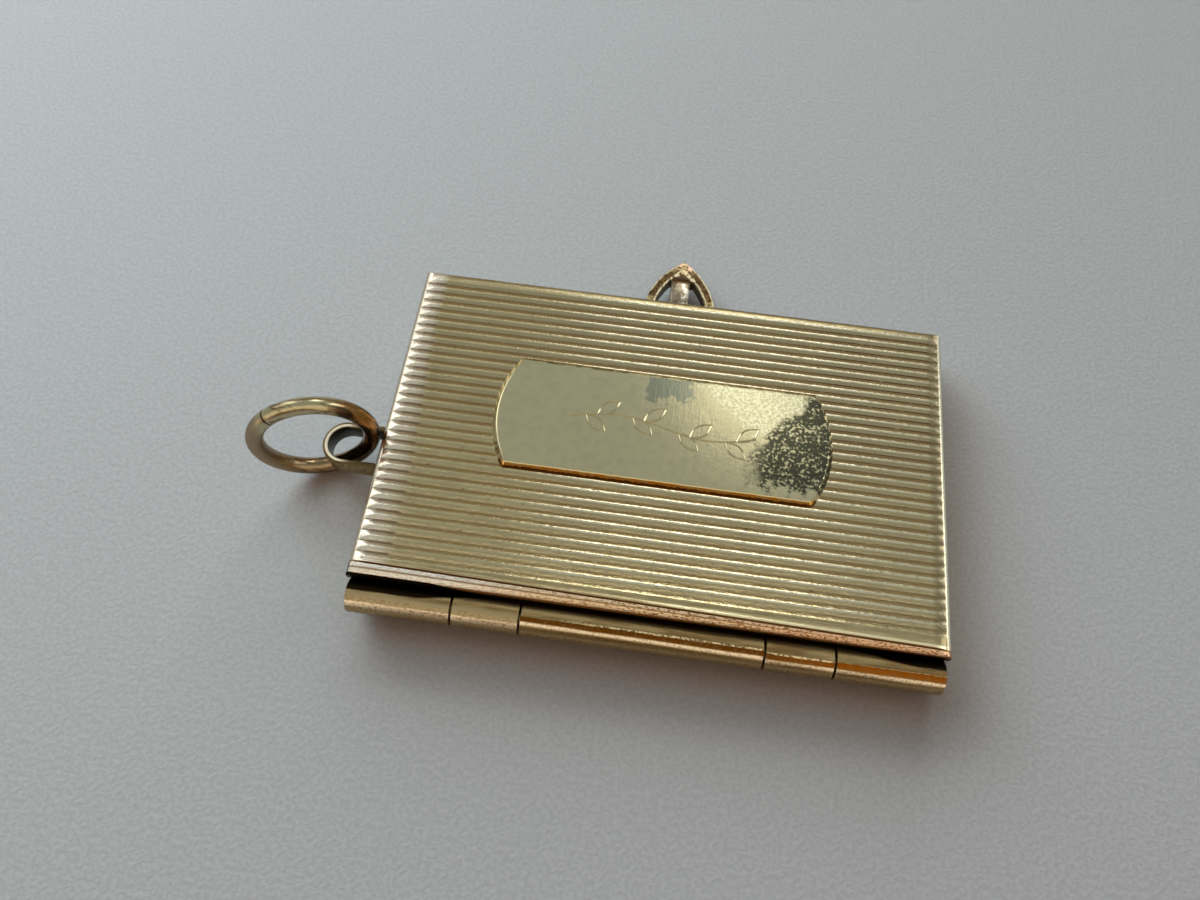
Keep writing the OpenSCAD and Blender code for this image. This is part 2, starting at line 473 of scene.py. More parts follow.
class Paint:
    """One material's node graph, drawn by calls that each return a socket.

    Args:
        name: Name of the material.
    """

    def __init__(self, name: str) -> None:
        self.material = bpy.data.materials.new(name)
        self.material.use_nodes = True
        self.tree = self.material.node_tree
        self.tree.nodes.clear()
        coordinates = self.tree.nodes.new("ShaderNodeTexCoord")
        scale = self.tree.nodes.new("ShaderNodeVectorMath")
        scale.operation = "SCALE"
        scale.inputs["Scale"].default_value = 1 / MM
        self.tree.links.new(coordinates.outputs["Object"], scale.inputs[0])
        self.place = scale.outputs[0]
        split = self.tree.nodes.new("ShaderNodeSeparateXYZ")
        self.tree.links.new(self.place, split.inputs[0])
        self.x, self.y, self.z = split.outputs

    def feed(self, socket: NodeSocket, source: Union[Source, Colour]) -> None:
        """Links a socket to a source, or sets it to a plain value or colour.

        Args:
            socket: The input that is fed.
            source: What feeds it.
        """
        if isinstance(source, NodeSocket):
            self.tree.links.new(source, socket)
        elif isinstance(source, tuple):
            socket.default_value = (*source, 1.0)
        else:
            socket.default_value = source

    def math(self, operation: str, a: Source, b: Source = 0.0) -> NodeSocket:
        """One step of arithmetic on two numbers."""
        node = self.tree.nodes.new("ShaderNodeMath")
        node.operation = operation
        self.feed(node.inputs[0], a)
        self.feed(node.inputs[1], b)
        return node.outputs[0]

    def span(self, value: Source, low: float, high: float) -> NodeSocket:
        """A soft step from 0 to 1.

        Args:
            value: The number that is looked at.
            low: Where the step starts, which may be the higher number.
            high: Where it ends.

        Returns:
            The step.
        """
        node = self.tree.nodes.new("ShaderNodeMapRange")
        node.interpolation_type = "SMOOTHSTEP"
        self.feed(node.inputs["Value"], value)
        node.inputs["From Min"].default_value = low
        node.inputs["From Max"].default_value = high
        return node.outputs["Result"]

    def band(self, value: Source, low: float, high: float, soft: float) -> NodeSocket:
        """1 between two values, falling off softly past both."""
        return self.times(self.span(value, low - soft, low), self.span(value, high + soft, high))

    def plus(self, a: Source, b: Source) -> NodeSocket:
        """The sum of two numbers."""
        return self.math("ADD", a, b)

    def minus(self, a: Source, b: Source) -> NodeSocket:
        """A number less another."""
        return self.math("SUBTRACT", a, b)

    def over(self, a: Source, b: Source) -> NodeSocket:
        """A number divided by another."""
        return self.math("DIVIDE", a, b)

    def larger(self, a: Source, b: Source) -> NodeSocket:
        """The larger of two numbers."""
        return self.math("MAXIMUM", a, b)

    def times(self, *factors: Source) -> NodeSocket:
        """The product of several numbers or masks."""
        result = factors[0]
        for factor in factors[1:]:
            result = self.math("MULTIPLY", result, factor)
        return result

    def length(self, a: Source, b: Source) -> NodeSocket:
        """The length of a line that runs this far one way and that far the other way."""
        return self.math("SQRT", self.plus(self.times(a, a), self.times(b, b)))

    def round_place(self, centre: tuple[float, float, float], radius: float) -> None:
        """Lets later noise follow a ring that stands on edge: x then runs along its wire.

        Args:
            centre: Middle of the ring.
            radius: Radius of the wire's middle line.
        """
        across, rise = self.minus(self.x, centre[0]), self.minus(self.z, centre[2])
        along = self.times(self.math("ARCTAN2", rise, across), radius)
        joined = self.tree.nodes.new("ShaderNodeCombineXYZ")
        for socket, source in zip(joined.inputs, (along, self.y, self.length(across, rise))):
            self.feed(socket, source)
        self.place = joined.outputs[0]

    def noise(
        self, size: float, detail: float = 3.0, stretch: Colour = (1, 1, 1), seed: float = 0
    ) -> NodeSocket:
        """Clouds of about the given size in millimetres, from 0 to 1.

        Args:
            size: Size of the clouds.
            detail: How many finer layers they have.
            stretch: Scale along each axis; below 1 it draws the clouds out.
            seed: Shift that makes them differ from others.

        Returns:
            The clouds.
        """
        mapping = self.tree.nodes.new("ShaderNodeMapping")
        self.tree.links.new(self.place, mapping.inputs["Vector"])
        mapping.inputs["Scale"].default_value = stretch
        mapping.inputs["Location"].default_value = (seed, seed, seed)
        node = self.tree.nodes.new("ShaderNodeTexNoise")
        node.inputs["Scale"].default_value = 1 / size
        node.inputs["Detail"].default_value = detail
        self.tree.links.new(mapping.outputs[0], node.inputs["Vector"])
        return node.outputs["Fac"]

    def mix(self, factor: Source, a: Tint, b: Tint) -> NodeSocket:
        """A colour between two colours."""
        node = self.tree.nodes.new("ShaderNodeMix")
        node.data_type = "RGBA"
        self.feed(node.inputs[0], factor)
        self.feed(node.inputs[6], a)
        self.feed(node.inputs[7], b)
        return node.outputs[2]

    def between(self, factor: Source, a: Source, b: Source) -> NodeSocket:
        """A number between two numbers."""
        node = self.tree.nodes.new("ShaderNodeMix")
        node.data_type = "FLOAT"
        self.feed(node.inputs[0], factor)
        self.feed(node.inputs[2], a)
        self.feed(node.inputs[3], b)
        return node.outputs[0]

    def bump(self, height: Source, depth: float) -> NodeSocket:
        """A normal for relief of the given depth in millimetres."""
        node = self.tree.nodes.new("ShaderNodeBump")
        node.inputs["Distance"].default_value = depth * MM
        self.feed(node.inputs["Height"], height)
        return node.outputs["Normal"]

    def surface(
        self, colour: NodeSocket, roughness: Source, normal: NodeSocket, metallic: float = 1.0
    ) -> Material:
        """Ends the graph in a shader.

        Args:
            colour: The surface's colour.
            roughness: Its roughness.
            normal: Its relief.
            metallic: 1 for metal, 0 for anything else.

        Returns:
            The finished material.
        """
        shader = self.tree.nodes.new("ShaderNodeBsdfPrincipled")
        shader.inputs["Metallic"].default_value = metallic
        self.feed(shader.inputs["Base Color"], colour)
        self.feed(shader.inputs["Roughness"], roughness)
        self.feed(shader.inputs["Normal"], normal)
        output = self.tree.nodes.new("ShaderNodeOutputMaterial")
        self.tree.links.new(shader.outputs[0], output.inputs["Surface"])
        return self.material


@dataclass(frozen=True)
class GoldFinish:
    """Worn gold-tone metal: clouds of tarnish, dark specks and a fine grain along the hinge.

    Args:
        name: Name of the material.
    """

    name: str
    clean_gold: Colour = (0.64, 0.54, 0.32)
    tarnish: Colour = (0.44, 0.34, 0.18)
    speck: Colour = (0.16, 0.10, 0.05)

    def material(self) -> Material:
        """Draws the finish."""
        paint = Paint(self.name)
        clouds = paint.span(paint.noise(2.2, 5), 0.45, 0.75)
        colour = paint.mix(clouds, self.clean_gold, self.tarnish)
        specks = paint.span(paint.noise(0.22, 3, seed=5), 0.66, 0.74)
        colour = paint.mix(paint.times(specks, 0.6), colour, self.speck)
        grain = paint.noise(0.12, 4, (0.25, 1, 1), 7)
        return paint.surface(colour, paint.between(grain, 0.24, 0.40), paint.bump(grain, 0.01))


@dataclass(frozen=True)
class CoverFinish:
    """The ribbed cover: worn crests with a painted highlight, grooves darkened by grime and painted shade,
    shoulders bright with a painted highlight, a pitted copper rim, and a flank painted dark as shade.
    """

    sizes: LocketSizes
    flat: Colour = (0.74, 0.64, 0.37)
    flat_dull: Colour = (0.63, 0.54, 0.32)
    # Colour of the fine streaks, and of the painted shade on each rib's far flank.
    far_side: Colour = (0.50, 0.38, 0.20)
    # Colour of the painted shade on each rib's near flank.
    near_side: Colour = (0.44, 0.39, 0.25)
    band_dull: Colour = (0.38, 0.29, 0.15)
    # Worn crests, with the painted highlight on them.
    crest: Colour = (0.97, 0.90, 0.68)
    # Dark specks of grime, tarnish in the grooves, and painted shade in the grooves and at their ends.
    grime_and_shade: Colour = (0.11, 0.07, 0.03)
    # Painted highlight on the shoulders, and painted shade on the right shoulder.
    shoulder: Colour = (1.0, 0.90, 0.74)
    shoulder_edge: Colour = (0.68, 0.58, 0.46)
    shoulder_dull: Colour = (0.34, 0.27, 0.15)
    wall: Colour = (0.62, 0.52, 0.31)
    wall_dull: Colour = (0.42, 0.32, 0.17)
    rim_left: Colour = (1.0, 0.95, 0.85)
    rim_middle: Colour = (1.0, 0.76, 0.50)
    rim_right: Colour = (1.0, 0.64, 0.40)
    seam: Colour = (0.30, 0.15, 0.05)
    # Rust of the pits; also the painted shade on the rim's lower flank.
    rust: Colour = (0.30, 0.12, 0.02)
    # Black of soot and of the painted shade in the gap below the rim.
    gap_shade_and_soot: Colour = (0.012, 0.007, 0.003)
    crease: Colour = (0.34, 0.17, 0.05)
    lip: Colour = (1.0, 0.88, 0.56)

    def ribs(self, paint: Paint) -> tuple[NodeSocket, NodeSocket]:
        """Colour and roughness of the ribbed field and its shoulders.

        Args:
            paint: The graph that is drawn.

        Returns:
            The colour and the roughness.
        """
        sizes = self.sizes
        beyond = paint.minus(paint.math("ABSOLUTE", paint.x), sizes.half_length - sizes.shoulder_width)
        # Painted highlight on the shoulders: at the left it reaches farther in toward the hinge, at the right
        # it is a thin edge line.
        reach = paint.between(paint.span(paint.y, 7.0, -5.0), 0.35, 1.2)
        reach = paint.plus(reach, paint.times(0.5, paint.noise(0.6, 3, (0.2, 1, 1), 41)))
        on_shoulder = paint.span(paint.over(beyond, reach), -1.0, 0.1)
        right = paint.span(paint.x, 0.0, 0.1)
        on_shoulder = paint.between(right, on_shoulder, paint.span(beyond, 0.62, 0.72))
        curve = paint.larger(beyond, 0.0)
        drop = paint.over(paint.times(curve, curve), 2 * sizes.shoulder_radius)
        depth = paint.minus(paint.minus(sizes.thickness, drop), paint.z)
        share = paint.math("FRACT", paint.over(paint.minus(paint.y, sizes.first_groove), sizes.pitch))
        ribbed = paint.band(paint.y, sizes.first_groove, sizes.last_groove + 0.6 * sizes.pitch, 0.05)
        fine = paint.noise(0.10, 4, (0.35, 1, 1), 3)
        colour = paint.mix(paint.span(paint.noise(2.6, 5), 0.35, 0.7), self.flat, self.flat_dull)
        streaks = paint.span(paint.noise(0.09, 4, (0.08, 1, 1), 31), 0.42, 0.62)
        colour = paint.mix(paint.times(streaks, 0.35), colour, self.far_side)
        field = paint.band(paint.y, sizes.first_groove - 0.25, sizes.last_groove + 0.38, 0.08)
        plain = paint.minus(1.0, field)
        lines = paint.span(paint.noise(0.06, 3, (0.04, 1, 1), 33), 0.40, 0.60)
        colour = paint.mix(paint.times(plain, paint.between(lines, 0.3, 0.85)), colour, self.band_dull)
        specks = paint.times(paint.span(paint.noise(0.15, 2, (0.6, 1, 1), 37), 0.70, 0.74), 0.75)
        colour = paint.mix(specks, colour, self.grime_and_shade)
        # Painted shade: the far flank of every rib is darkened.
        far_side = paint.times(ribbed, paint.band(share, 0.55, 0.93, 0.06), 0.4)
        colour = paint.mix(far_side, colour, self.far_side)
        # Painted shade: the near flank of every rib is darkened, more toward the far side.
        shaded = paint.between(paint.span(paint.y, -2.0, 4.0), 0.4, 0.65)
        near_side = paint.times(ribbed, paint.band(share, 0.08, 0.34, 0.06), shaded)
        colour = paint.mix(near_side, colour, self.near_side)
        # Painted highlight on the worn crests: it fades out left of x = -3, is gone at x = -8 and is dimmer
        # past x = 8.
        dimmed = paint.between(paint.span(paint.x, 8.0, 12.0), 1.0, 0.6)
        lit = paint.times(paint.span(paint.x, -8.0, -3.0), dimmed)
        wear_and_highlight = paint.times(
            paint.span(depth, 0.22 * sizes.groove_depth, 0.0), paint.span(fine, 0.30, 0.5), ribbed, lit,
        )
        colour = paint.mix(wear_and_highlight, colour, self.crest)
        # Tarnish in the grooves, deepened by painted shade toward the far side and the right.
        groove_tarnish_and_shade = paint.plus(0.28, paint.times(0.35, paint.span(paint.y, -3.0, 5.0)))
        groove_tarnish_and_shade = paint.plus(groove_tarnish_and_shade, paint.times(0.45, paint.span(paint.x, 3.0, 11.0)))
        groove = paint.times(
            paint.span(depth, 0.72 * sizes.groove_depth, 0.95 * sizes.groove_depth),
            groove_tarnish_and_shade, paint.span(fine, 0.25, 0.42),
        )
        # Colours of the shoulders' painted highlight.
        bright_end = paint.mix(paint.span(beyond, 0.55, 0.72), self.shoulder, self.shoulder_edge)
        bright_end = paint.mix(right, bright_end, self.crest)
        # Painted shade: the right shoulder darkens inside its bright edge line.
        dull_end = paint.times(right, paint.span(beyond, -0.1, 0.3), 0.75)
        colour = paint.mix(dull_end, colour, self.shoulder_dull)
        colour = paint.mix(on_shoulder, colour, bright_end)
        # Painted shade: dark wedges where the grooves run out onto the shoulders.
        notch = paint.times(
            paint.span(on_shoulder, 0.0, 0.3), paint.span(depth, 0.045, 0.065),
            paint.span(beyond, 0.66, 0.45), 0.8,
        )
        aside = paint.math("ABSOLUTE", paint.minus(share, 0.5))
        foot = paint.times(
            paint.span(aside, 0.40, 0.45), paint.span(beyond, 0.75, 0.55), paint.span(beyond, 0.2, 0.4), 0.7,
        )
        notch = paint.larger(notch, paint.times(foot, ribbed))
        groove = paint.larger(groove, notch)
        wall = paint.span(depth, 0.22, 0.34)
        groove = paint.times(groove, paint.minus(1.0, wall))
        colour = paint.mix(groove, colour, self.grime_and_shade)
        clouds = paint.span(paint.noise(1.8, 5, (0.5, 1, 1), 43), 0.40, 0.70)
        colour = paint.mix(wall, colour, paint.mix(clouds, self.wall, self.wall_dull))
        polish = paint.between(paint.span(paint.y, 0.0, 5.0), 0.0, 0.07)
        polish = paint.plus(polish, paint.between(fine, 0.13, 0.25))
        roughness = paint.between(groove, polish, 0.5)
        return colour, paint.between(paint.larger(plain, wall), roughness, 0.32)

    def rim(self, paint: Paint) -> tuple[NodeSocket, NodeSocket]:
        """Colour and height of the rim: cream at the left, rose and copper at the right, beaded with wear,
        with painted shade below it.

        Args:
            paint: The graph that is drawn.

        Returns:
            The colour and the height of its pits.
        """
        sizes = self.sizes
        beads = paint.noise(0.13, 2, (0.8, 1.6, 1.6), 11)
        inward, width = self.crease_distance(paint)
        share = paint.over(inward, width)
        colour = paint.mix(paint.span(paint.x, -10.5, -4.0), self.rim_left, self.rim_middle)
        colour = paint.mix(paint.span(paint.x, 1.0, 9.0), colour, self.rim_right)
        strength = paint.between(paint.span(paint.x, 5, 12), 0.8, 0.3)
        seam = paint.times(paint.band(share, 0.40, 0.46, 0.07), strength)
        colour = paint.mix(seam, colour, self.seam)
        strength = paint.between(paint.span(paint.x, -9, 3), 0.25, 0.85)
        pits = paint.times(paint.span(beads, 0.50, 0.40), strength)
        colour = paint.mix(pits, colour, self.rust)
        # Painted shade: below its rounded top the rim turns rust-dark, and the wall under it black, where it
        # drops into the gap over the barrel.
        under = paint.span(paint.z, 2.76, 2.68)
        colour = paint.mix(under, colour, self.rust)
        black_top = paint.between(paint.span(paint.x, -8.0, -10.5), 2.58, 2.75)
        black = paint.math("GREATER_THAN", black_top, paint.z)
        return paint.mix(black, colour, self.gap_shade_and_soot), beads

    def crease_distance(self, paint: Paint) -> tuple[NodeSocket, NodeSocket]:
        """Measures from the leaning crease.

        Args:
            paint: The graph that is drawn.

        Returns:
            How far a place is from the crease toward the hinge, and the rim's width there.
        """
        lean = paint.times(paint.x, self.sizes.crease_lean)
        inward = paint.minus(paint.minus(self.sizes.crease_y, lean), paint.y)
        return inward, paint.minus(self.sizes.rim_width, lean)

    def material(self) -> Material:
        """Draws the finish."""
        paint = Paint("ribbed_gold")
        colour, roughness = self.ribs(paint)
        rim_colour, beads = self.rim(paint)
        inward, _ = self.crease_distance(paint)
        on_rim = paint.span(inward, 0.03, 0.06)
        colour = paint.mix(on_rim, colour, rim_colour)
        crease = paint.band(inward, -0.02, 0.03, 0.03)
        colour = paint.mix(paint.times(crease, 0.9), colour, self.crease)
        lip = paint.times(paint.band(inward, -0.17, -0.07, 0.03), paint.span(paint.x, -1.0, 2.0))
        colour = paint.mix(lip, colour, self.lip)
        grain = paint.noise(0.14, 4, (0.5, 1, 1), 3)
        height = paint.between(on_rim, grain, paint.times(beads, 3.0))
        return paint.surface(colour, roughness, paint.bump(height, 0.012))


@dataclass(frozen=True)
class BarrelFinish:
    """The hinge's barrel: black with soot and painted shade against the cover, khaki with a painted glint, a
    rust band, a cream line of wear with a painted highlight, and a lower side painted darker as shade, paler
    underneath.

    Its bands lie at angles about the hinge's axis, in degrees from +Y over the top.
    """

    sizes: LocketSizes
    name: str
    khaki: Colour = (0.40, 0.30, 0.14)
    brown: Colour = (0.24, 0.15, 0.06)
    rust: Colour = (0.17, 0.055, 0.004)
    orange: Colour = (0.34, 0.10, 0.005)
    # A painted glint.
    spark: Colour = (1.0, 0.80, 0.45)
    # Cream wear with a painted highlight.
    wear_and_highlight: Colour = (1.0, 0.84, 0.62)
    # Painted shade on the barrel's lower side.
    dull: Colour = (0.28, 0.20, 0.09)
    pale: Colour = (0.50, 0.39, 0.22)
    underside: Colour = (0.44, 0.30, 0.14)
    # Black of soot and painted shade in the gap against the cover.
    gap_shade_and_soot: Colour = (0.012, 0.007, 0.003)

    def material(self) -> Material:
        """Draws the finish."""
        sizes = self.sizes
        paint = Paint(self.name)
        rise = paint.minus(paint.z, sizes.axis_z)
        out = paint.minus(paint.y, sizes.axis_y)
        turn = paint.times(paint.math("ARCTAN2", rise, out), math.degrees(1))
        fine = paint.noise(0.10, 4, (0.7, 1, 1), 2)
        streaks = paint.noise(0.30, 4, (0.15, 1, 1), 9)
        left = paint.span(paint.x, -sizes.inner_joint, -sizes.inner_joint - 0.1)
        right = paint.span(paint.x, sizes.inner_joint, sizes.inner_joint + 0.1)
        sag = paint.plus(paint.times(9.0, left), paint.times(7.0, right))
        sag = paint.plus(sag, paint.times(3.0, paint.span(paint.x, -6.0, 6.0)))
        band_turn = paint.minus(turn, sag)
        band_turn = paint.plus(band_turn, paint.times(8.0, paint.minus(streaks, 0.5)))
        colour = paint.mix(paint.span(streaks, 0.35, 0.65), self.khaki, self.brown)
        colour = paint.mix(paint.times(left, paint.span(turn, 88.0, 104.0)), colour, self.pale)
        # Painted glint: a sparkling line along the barrel's top, from x = -5 rightward.
        spark = paint.times(paint.band(band_turn, 93.0, 97.0, 2.0), paint.span(fine, 0.44, 0.5),
                           paint.span(paint.x, -5.0, -1.0))
        colour = paint.mix(spark, colour, self.spark)
        rust_start = paint.between(paint.span(paint.x, 9.0, 9.2), 99.0, 94.0)
        rust = paint.times(paint.span(paint.minus(band_turn, rust_start), -2.5, 0.0),
                          paint.span(band_turn, 113.5, 111.0))
        rust = paint.times(rust, paint.minus(1.0, left))
        colour = paint.mix(rust, colour, paint.mix(paint.span(paint.x, 5.0, 10.5), self.rust, self.orange))
        # Cream line of wear along the top, carrying a painted highlight.
        wear_and_highlight = paint.span(band_turn, 113.0, 117.0)
        colour = paint.mix(wear_and_highlight, colour, self.wear_and_highlight)
        # Painted shade: darker below the cream line on the barrel's lower side, paler instead at the left
        # end.
        dull_turn = paint.minus(band_turn, paint.times(8.0, left))
        dull = paint.span(dull_turn, 121.0, 131.0)
        colour = paint.mix(dull, colour, paint.mix(left, self.dull, self.pale))
        colour = paint.mix(paint.span(turn, 138.0, 155.0), colour, self.underside)
        pits = paint.times(paint.span(band_turn, 96.0, 101.0), paint.span(fine, 0.50, 0.40), 0.45)
        colour = paint.mix(pits, colour, self.brown)
        line = paint.times(paint.band(turn, 46.0, 58.0, 4.0), paint.band(paint.x, -9.0, 9.0, 0.3), 0.8)
        colour = paint.mix(line, colour, self.rust)
        # Black of soot and painted shade along the gap against the cover, wider toward the ends.
        edge = paint.between(paint.span(paint.x, -6.0, -11.5), 46.0, 90.0)
        edge = paint.between(paint.span(paint.x, 8.5, 13.5), edge, 84.0)
        edge = paint.plus(edge, paint.times(14.0, paint.minus(streaks, 0.5)))
        gap_shade_and_soot = paint.span(paint.minus(turn, edge), 4.0, -4.0)
        gap_shade_and_soot = paint.times(gap_shade_and_soot, paint.span(turn, 8.0, 30.0))
        colour = paint.mix(gap_shade_and_soot, colour, self.gap_shade_and_soot)
        roughness = paint.between(wear_and_highlight, 0.46, paint.between(fine, 0.22, 0.36))
        return paint.surface(colour, roughness, paint.bump(fine, 0.012))


@dataclass(frozen=True)
class PlaqueFinish:
    """The plaque: polished olive gold, a painted reflection on a more polished patch, a mottled dark end of
    tarnish and painted dark reflection, and an orange near bevel with painted glints.

    Args:
        bottom: Height of its foot.
        top: Height of its upper face.
        near: Place of its side toward the hinge.
        far: Place of its far side.
    """

    bottom: float
    top: float
    near: float
    far: float
    olive: Colour = (0.72, 0.64, 0.39)
    olive_dull: Colour = (0.64, 0.57, 0.36)
    # The painted reflection on the patch.
    bright: Colour = (0.96, 0.91, 0.62)
    # Tarnish and a painted dark reflection at the right end.
    dark: Colour = (0.085, 0.085, 0.055)
    shade: Colour = (0.34, 0.36, 0.27)
    far_gold: Colour = (0.30, 0.26, 0.13)
    orange: Colour = (0.95, 0.50, 0.10)
    # Painted glints on the near bevel.
    glint: Colour = (1.0, 0.82, 0.45)
    foot: Colour = (0.10, 0.04, 0.008)

    def material(self) -> Material:
        """Draws the finish."""
        paint = Paint("plaque_gold")
        fine = paint.noise(0.16, 5, seed=4)
        blots = paint.noise(0.5, 5, seed=8)
        wander = paint.times(paint.minus(blots, 0.5), 2.2)
        # Painted reflection: a bright patch with a slanting lower edge toward the far right, and a bright
        # line along the far side.
        slant = paint.plus(paint.plus(paint.y, paint.times(paint.x, 0.8)), wander)
        cross = paint.plus(paint.minus(paint.x, paint.times(paint.y, 0.84)), wander)
        far_line = paint.times(paint.span(paint.y, 3.55, 3.75), paint.span(paint.x, -3.0, 0.0))
        patch = paint.larger(paint.span(slant, 4.4, 5.1), far_line)
        patch = paint.times(patch, paint.span(cross, 4.4, 3.9))
        # A mottled dark end at the right: tarnish, darkened further as a painted dark reflection.
        mottled = paint.times(
            paint.span(cross, 4.0, 4.5), paint.span(paint.plus(paint.x, wander), 3.9, 5.2),
            paint.band(paint.plus(paint.y, wander), -1.4, 3.7, 0.5),
            paint.span(paint.plus(fine, paint.times(blots, 0.5)), 0.92, 0.76),
        )
        colour = paint.mix(paint.span(blots, 0.3, 0.8), self.olive, self.olive_dull)
        mottle = paint.times(paint.span(fine, 0.46, 0.56), 0.8)
        colour = paint.mix(patch, colour, paint.mix(mottle, self.bright, self.olive))
        shade = paint.times(paint.band(paint.plus(paint.x, wander), -0.9, 1.0, 0.3),
                           paint.span(paint.plus(paint.y, wander), 2.3, 2.6), 0.8)
        colour = paint.mix(shade, colour, self.shade)
        far_edge = paint.span(paint.y, self.far - 0.40, self.far - 0.30)
        far_colour = paint.mix(paint.span(blots, 0.35, 0.6), self.far_gold, self.olive)
        colour = paint.mix(far_edge, colour, far_colour)
        colour = paint.mix(mottled, colour, self.dark)
        near_bevel = paint.times(
            paint.span(paint.z, self.top - 0.02, self.top - 0.04),
            paint.span(paint.y, self.near + 0.45, self.near + 0.35),
        )
        colour = paint.mix(near_bevel, colour, self.orange)
        # Painted glints along the upper half of the near bevel.
        glint = paint.times(near_bevel, paint.span(paint.z, self.top - 0.14, self.top - 0.05),
                           paint.span(blots, 0.42, 0.56))
        colour = paint.mix(glint, colour, self.glint)
        rust = paint.plus(paint.z, paint.times(0.16, paint.minus(fine, 0.5)))
        foot = paint.times(near_bevel, paint.span(rust, self.bottom + 0.15, self.bottom + 0.10), 0.92)
        colour = paint.mix(foot, colour, self.foot)
        scratches = paint.noise(0.10, 3, (1.0, 0.06, 1.0), 12)
        roughness = paint.between(patch, paint.between(fine, 0.10, 0.16), paint.between(fine, 0.12, 0.22))
        relief = paint.plus(paint.times(fine, 0.5), paint.times(scratches, 0.5))
        return paint.surface(colour, roughness, paint.bump(relief, 0.004))


@dataclass(frozen=True)
class LoopFinish:
    """The catch loop: dark arms between bright edges of wear and painted highlight, golden feet and a rosy
    spotted nose.
    """

    catch: "Catch"
    dark: Colour = (0.045, 0.027, 0.012)
    brown: Colour = (0.15, 0.09, 0.04)
    # Bright edges: wear with a painted highlight.
    wear_and_highlight: Colour = (0.58, 0.51, 0.33)
    gold: Colour = (0.42, 0.34, 0.17)
    rosy: Colour = (0.90, 0.60, 0.40)
    edge: float = 0.075
    soft: float = 0.04

    def material(self) -> Material:
        """Draws the finish."""
        catch = self.catch
        paint = Paint("loop_gold")
        fine = paint.noise(0.16, 4, seed=6)
        aside = paint.plus(paint.math("ABSOLUTE", paint.x), catch.side_radius - catch.loop_half_width)
        along = paint.minus(paint.y, catch.sizes.half_width)
        inset = paint.minus(catch.side_radius, paint.length(aside, along))
        colour = paint.mix(paint.span(fine, 0.35, 0.65), self.dark, self.brown)
        feet = paint.times(paint.span(along, 1.6, 0.9), paint.span(fine, 0.40, 0.55))
        colour = paint.mix(feet, colour, self.gold)
        # Painted highlight along the arms' outer and inner edges, broken by wear.
        outer = paint.band(inset, -self.edge, self.edge, self.soft)
        inner = paint.band(inset, catch.arm - 1.5 * self.edge, catch.arm + self.edge, self.soft)
        wear_and_highlight = paint.times(paint.larger(outer, inner), paint.span(fine, 0.34, 0.46))
        colour = paint.mix(wear_and_highlight, colour, self.wear_and_highlight)
        spots = paint.noise(0.35, 2, seed=23)
        nose = paint.span(along, catch.loop_reach - 0.9, catch.loop_reach - 0.5)
        colour = paint.mix(paint.times(nose, paint.span(spots, 0.50, 0.46)), colour, self.gold)
        colour = paint.mix(paint.times(nose, paint.span(spots, 0.54, 0.60), 0.8), colour, self.rosy)
        low = paint.span(paint.z, catch.top - 0.10, catch.top - 0.25)
        colour = paint.mix(low, colour, self.brown)
        return paint.surface(colour, paint.between(fine, 0.22, 0.40), paint.bump(fine, 0.01))


@dataclass(frozen=True)
class TongueFinish:
    """The catch tongue: silvery on top with a painted glint, painted dark brown as shade where it is bent
    over.
    """

    catch: "Catch"
    silver: Colour = (0.40, 0.34, 0.25)
    dull: Colour = (0.20, 0.16, 0.10)
    # A painted glint.
    glint: Colour = (0.78, 0.73, 0.62)
    # Painted shade on the bend.
    brown: Colour = (0.16, 0.08, 0.025)

    def material(self) -> Material:
        """Draws the finish."""
        paint = Paint("tongue_gold")
        fine = paint.noise(0.30, 3, seed=21)
        bent = paint.span(paint.y, self.catch.tongue_end - 1.0, self.catch.tongue_end - 0.6)
        colour = paint.mix(paint.span(fine, 0.35, 0.65), self.silver, self.dull)
        # Painted glint toward the tongue's right side.
        glint = paint.span(paint.noise(0.4, 3, seed=24), 0.50, 0.56)
        colour = paint.mix(paint.times(glint, paint.span(paint.x, -0.2, 0.1)), colour, self.glint)
        # Painted shade: the bend under the loop's nose is dark brown.
        colour = paint.mix(bent, colour, self.brown)
        return paint.surface(colour, paint.between(fine, 0.2, 0.38), paint.bump(fine, 0.005))


